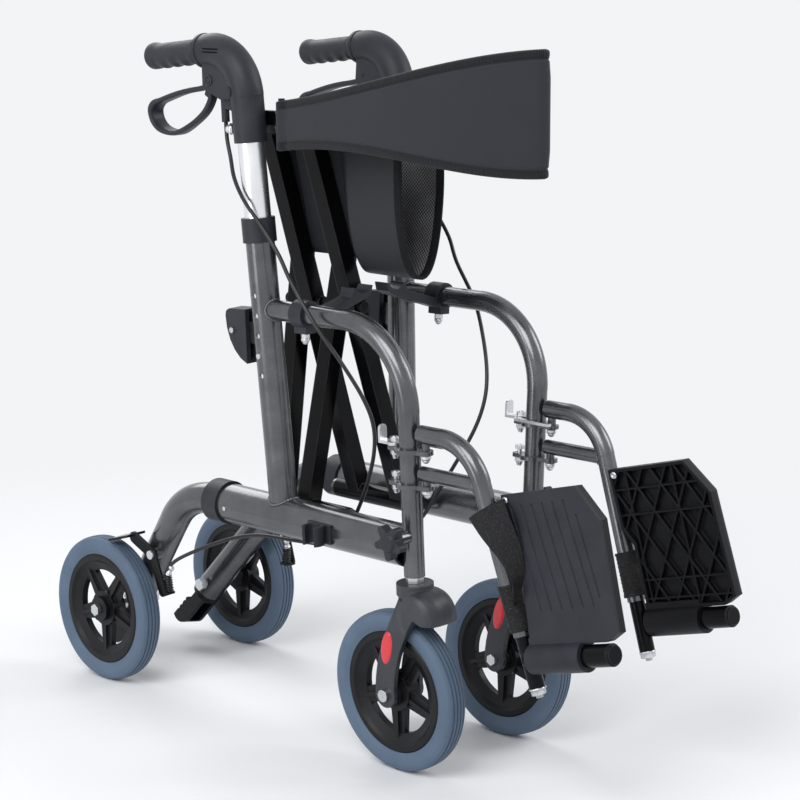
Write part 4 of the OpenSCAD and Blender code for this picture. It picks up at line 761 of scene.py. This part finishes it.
def woven(name, dark, light, pitch, rough, depth, **values):
    """Cloth on the piece's own map: threads that cross over and under, lighter where they lie on top, with
    broad patches where the cloth is scuffed."""
    look = finish(name, **values)
    look.weave = look.group(WEAVE, look.chart("cloth"), Pitch=pitch)
    look.grain = look.group(GRAIN, look.chart("cloth"), Scale=900)
    patch = look.grain["Patch"]
    both = look.calc("MULTIPLY", look.weave["Over"], look.spread(patch, 0.25, 0.75, 0.35, 1.0))
    look.colour = look.mix(both, dark, light)
    look.feed("Base Color", look.colour)
    look.feed("Roughness", look.spread(patch, 0.3, 0.7, *rough))
    look.bump(look.weave["Height"], depth)
    return look


def thicken(obj, thickness):
    """Gives a sheet its thickness, half to each side."""
    wall = obj.modifiers.new("cloth", "SOLIDIFY")
    wall.thickness = thickness
    wall.offset = 0.0
    return wall


nylon = woven("nylon", (0.008, 0.0088, 0.0112), (0.027, 0.029, 0.036), 0.0006, (0.36, 0.48), 0.00015,
              Specular_IOR_Level=0.35)
net = woven("net", (0.008, 0.008, 0.009), (0.40, 0.40, 0.41), 0.0024, (0.6, 0.8), 0.0006)
tape = woven("tape", (0.004, 0.004, 0.005), (0.013, 0.013, 0.0155), 0.0009, (0.6, 0.75), 0.0003,
             Specular_IOR_Level=0.2)
sling_f = np.concatenate([[SLING_REAR + 0.3], np.linspace(SLING_REAR + 1, SLING_FRONT - 1, 72),
                          [SLING_FRONT - 0.3]])
sling_points = sling_skin(sling_f, 0 * sling_f)
run_across = run_along(free_cross * mirror_x) / 1000
sling_uv = np.stack(np.broadcast_arrays(run_across[None], (sling_f[:, None] - SLING_REAR) / 1000), -1)
sling = grid_mesh("seat_sling", sling_points, nylon, uv={"cloth": sling_uv})
sling.data.materials.append(net.material)
wall = thicken(sling, 2 * CLOTH_HALF / 1000)
wall.material_offset = 1
wall.material_offset_rim = 0
FOLD = np.array([(-12, 1.25), (-11.6, 1.75), (-7, 1.8), (-1.5, 1.75), (-0.4, 1.3), (0, 0.5), (0, -0.5),
                 (-0.4, -1.3), (-1.5, -1.75), (-7, -1.8), (-11.6, -1.75), (-12, -1.25)])
fold_run = run_along(FOLD)[:, None] / 1000
fold_uv = np.stack(np.broadcast_arrays(run_across[None] * 2.2, fold_run), -1)
for name, edge_f, way in (("front", SLING_FRONT, 1), ("rear", SLING_REAR, -1)):
    hem = grid_mesh(f"sling_tape_{name}", sling_skin(edge_f + way * FOLD[:, 0], FOLD[:, 1]), tape,
                    uv={"cloth": fold_uv}, turn=way > 0)
    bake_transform(hem)
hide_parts("seat_sling_right", "seat_sling_left")
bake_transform(sling)

# Back band: a foam strip between two faces of black polyester cloth, bound along its edges with ribbed tape
# and folded in the middle; each end is a sleeve sewn round the pin of its carrying arm.
HINGE, TIP, SAG = np.array((-100.0, 348.0)), np.array((0.0, 690.0)), 25.0
BAND_TOP = ((348, 801.5), (470, 815), (590, 862), (690, 866.3))
BAND_LOW = ((348, 740), (490, 760), (590, 712), (690, 719))
TAPE_EDGE, STITCH_IN, BEAD, BEAD_WIDE, PIN_SLEEVE = 11.0, 2.2, 4.4, 4.0, 9.4
RIB_PITCH, STITCH_PITCH, STITCH_HALF = 0.0016, 0.0034, 0.00045
SOFTEN = 55
chord = TIP - HINGE
length = np.linalg.norm(chord)
bow = (length**2 / 4 + SAG**2) / (2 * SAG)
centre = (HINGE + TIP) / 2 - np.array((-chord[1], chord[0])) / length * (bow - SAG)
swing = np.linspace(np.arctan2(*(HINGE - centre)[::-1]), np.arctan2(*(TIP - centre)[::-1]), 400)
leaf = centre + bow * np.stack([np.cos(swing), np.sin(swing)], -1)
whole = even(np.concatenate([leaf, leaf[-2::-1] * (-1, 1)]), 1201)
kernel = np.hanning(SOFTEN) / np.hanning(SOFTEN).sum()
more = SOFTEN // 2
longer = np.concatenate([2 * whole[:1] - whole[more:0:-1], whole, 2 * whole[-1:] - whole[-2:-more - 2:-1]])
band_line = even(np.stack([np.convolve(longer[:, i], kernel, "valid") for i in (0, 1)], -1), 201)
band_top, band_low = (
    np.interp(band_line[:, 1], *bezier(corners, 200).T) for corners in (BAND_TOP, BAND_LOW))
ahead = unit(np.gradient(band_line, axis=0))
aside = np.stack([-ahead[:, 1], ahead[:, 0]], -1)
share = np.concatenate([np.linspace(0, 0.16, 22)[:-1], np.linspace(0.16, 0.84, 33),
                        np.linspace(0.84, 1, 22)[1:]])
height = (band_top - band_low)[:, None]
edge = np.minimum(share, 1 - share)[None] * height
bead = BEAD * np.sqrt(np.clip(1 - ((np.clip(edge, 0, BEAD_WIDE) - BEAD_WIDE) / BEAD_WIDE) ** 2, 0, 1))
dip = -1.5 * bell(edge, TAPE_EDGE + 0.6, 1.3) - 0.5 * bell(edge, TAPE_EDGE - STITCH_IN, 0.7)
thick = bead + dip + 1.3 * ease(edge, TAPE_EDGE + 1, TAPE_EDGE + 24)
run = run_along(band_line)
from_end = np.minimum(run, run[-1] - run)[:, None]
sleeve_r = np.sqrt(PIN_SLEEVE**2 - np.clip(from_end - 1.0, 0, PIN_SLEEVE) ** 2)
thick = np.maximum(thick, np.minimum(sleeve_r, 2.4 * bead))
level = band_low[:, None] + share[None] * height
faces = [np.stack([band_line[:, None, 0] + way * thick * aside[:, None, 0],
                   AXLE_Y - band_line[:, None, 1] - way * thick * aside[:, None, 1], level], -1)
         for way in (1, -1)]
loop = np.concatenate([faces[0], faces[1][:, -2:0:-1]], axis=1) / 1000
middle = loop.copy()
middle[..., :2] = np.stack([band_line[:, 0], AXLE_Y - band_line[:, 1]], -1)[:, None] / 1000
loop = np.concatenate([middle[:1], loop, middle[-1:]])
edge_loop = np.concatenate([edge, edge[:, -2:0:-1]], axis=1) / 1000
edge_loop = np.concatenate([edge_loop[:1], edge_loop, edge_loop[-1:]])
run_loop = np.broadcast_to(np.concatenate([run[:1], run, run[-1:]])[:, None], edge_loop.shape) / 1000
polyester = woven("polyester", (0.022, 0.0226, 0.0285), (0.049, 0.050, 0.061), 0.0009, (0.7, 0.85), 0.0002,
                  Specular_IOR_Level=0.2, Sheen_Weight=0.12, Sheen_Roughness=0.5)
calc, mix, spread = polyester.calc, polyester.mix, polyester.spread
spot = polyester.split(polyester.chart("edge"))
bound = spread(spot[1], TAPE_EDGE / 1000 + 0.0002, TAPE_EDGE / 1000 - 0.0002)
ribs = calc("SINE", calc("MULTIPLY", spot[0], float(2 * np.pi / RIB_PITCH)))
rib_colour = mix(spread(ribs, -0.6, 0.8), (0.006, 0.006, 0.008), (0.022, 0.0225, 0.028))
dash = calc("GREATER_THAN", calc("SINE", calc("MULTIPLY", spot[0], float(2 * np.pi / STITCH_PITCH))), -0.4)
off_row = calc("ABSOLUTE", calc("SUBTRACT", spot[1], (TAPE_EDGE - STITCH_IN) / 1000))
row = calc("LESS_THAN", off_row, STITCH_HALF)
stitch = calc("MULTIPLY", dash, row)
colour = mix(calc("MULTIPLY", polyester.grain["Fleck"], 0.5), polyester.colour, (0.078, 0.080, 0.09))
colour = mix(bound, colour, rib_colour)
polyester.feed("Base Color", mix(stitch, colour, (0.004, 0.004, 0.005)))
lifted = calc("ADD", calc("MULTIPLY", bound, calc("MULTIPLY", ribs, 0.6)),
              calc("MULTIPLY", polyester.weave["Height"], 0.8))
polyester.bump(calc("ADD", lifted, stitch), 0.0003)
band = grid_mesh("back_band", loop, polyester, closed_v=True, solid=True,
                 uv={"cloth": np.stack([run_loop, loop[..., 2]], -1),
                     "edge": np.stack([run_loop, edge_loop], -1)})
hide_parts("back_band_right", "back_band_left")
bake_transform(band)

# Heel straps: ribbed black webbing that passes outside the footrest's leg from a screw in the plate's
# corner, and gathers into a knitted cuff round the leg, with a nut below on the end of the extension.
webbing = woven("webbing", (0.0035, 0.0035, 0.004), (0.020, 0.020, 0.0215), 0.0016, (0.5, 0.7), 0.0005,
                Specular_IOR_Level=0.25)
glints = webbing.group(GRAIN, webbing.chart("cloth"), Scale=340)
shine = webbing.calc("MULTIPLY", glints["Fleck"], webbing.weave["Height"])
webbing.feed("Base Color", webbing.mix(shine, webbing.colour, (0.21, 0.21, 0.215)))
STRAP_LINE = [(4, 702, 354, -9, 18.5, 12.5, 11), (9, 721, 336, -6, 16, 14, 3), (8, 742, 308, -8, 9, 8, 0.5),
              (12, 755, 285, -9, 2, 4, 0), (11, 752, 262, -5, 1, 2, 0), (7, 747, 251, -3, 1, 1, 0)]
CUFF_H, CUFF_FROM, CUFF_TO, CUFF_R, CUFF_WALL, STRAP_WALL = 212.0, 6.0, 60.0, 12.9, 0.0012, 0.0018
EXTENSION_H = 153.0
EXTENSION_NUT = [
    (7.2, 0, 0), (10.2, 0, 0), (10.2, 1.8, 0), (8.2, 1.9, 1), (8.2, 7.4, 1), (7.4, 8.2, 0), (4.2, 8.2, 0),
    (4.2, 11.5, 0), (0.05, 11.8, 0)]
strap_line = smooth_line(STRAP_LINE, 9)[:, None]
wide = np.linspace(-1, 1, 25)[None, :, None]
pleats = 0.55 * np.sin(wide * 13)[..., 0] * np.linspace(0.2, 1, len(strap_line))[:, None]
strap_points = strap_line[..., :3] + wide * strap_line[..., 3:6]
strap_points[..., 0] += (1 - wide[..., 0] ** 2) * strap_line[..., 6] + pleats
strap_run = run_along(strap_line[:, 0, :3])[:, None] / 1000
strap_uv = np.stack(np.broadcast_arrays(strap_run, wide[..., 0] * 0.022), -1)


def on_plate(s, points):
    """Points (out, a, b) of a folded-up footplate in the part's metres: a forward along its hinge, b up the
    plate, out from its middle; the plate leans in by PLATE_LEAN and its hinge rises by PLATE_TILT."""
    out, a, b = np.moveaxis(np.asarray(points, float), -1, 0)
    x = out * np.cos(PLATE_LEAN) - b * np.sin(PLATE_LEAN)
    z = out * np.sin(PLATE_LEAN) + b * np.cos(PLATE_LEAN)
    forward = a * np.cos(PLATE_TILT) - z * np.sin(PLATE_TILT)
    rise = a * np.sin(PLATE_TILT) + z * np.cos(PLATE_TILT)
    return in_side(s, np.stack([x, forward, rise], -1) + np.array(PLATE_HINGE))


def on_leg(h):
    """The point of the hanger leg's axis at height h."""
    return np.array((0, LEG_F + (LEG_H - h) * np.tan(LEG_LEAN), h))


up_leg = np.linspace(CUFF_FROM, CUFF_TO, 40)
angle = circle(40)[None, :, None]
cuff_r = CUFF_R + 0.3 * np.cos(up_leg * 1.3) + 0.7 * (bell(up_leg, 7, 2.0) + bell(up_leg, 59, 2.0))
cuff_points = (on_leg(CUFF_H) - up_leg[:, None] * LEG_DOWN)[:, None] + cuff_r[:, None, None] * (
    np.cos(angle) * np.array((1, 0, 0)) + np.sin(angle) * np.array((0, np.cos(LEG_LEAN), np.sin(LEG_LEAN))))
cuff_uv = np.stack(np.broadcast_arrays(up_leg[:, None] / 1000, angle[..., 0] * 0.0127), -1)
nut_points = turned(on_leg(EXTENSION_H) - LEG_DOWN * 1.5, LEG_DOWN, EXTENSION_NUT, 6)
plate_heads = [pan_head((6.1, 9, 181), (1, 0, 0), 4.4), pan_head((-5.2, 9, 181), (-1, 0, 0), 4.4)]
for s, side in SIDES:
    cuff = grid_mesh(f"heel_cuff_{side}", in_side(s, cuff_points), webbing, closed_v=True,
                     uv={"cloth": cuff_uv})
    thicken(cuff, CUFF_WALL)
    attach(cuff, f"{side}_hanger")
    web_points = in_side(s, strap_points)
    strap = grid_mesh(f"heel_strap_web_{side}", web_points, webbing, uv={"cloth": strap_uv})
    thicken(strap, STRAP_WALL)
    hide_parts(f"heel_strap_{side}")
    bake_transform(strap)
    screw = grid_mesh(f"plate_screw_{side}", [on_plate(s, head) for head in plate_heads], zinc,
                      closed_v=True, solid=True)
    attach(screw, f"{side}_footplate")
    end_nut = grid_mesh(f"extension_nut_{side}", in_side(s, nut_points), zinc, closed_v=True, solid=True)
    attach(end_nut, f"{side}_hanger")
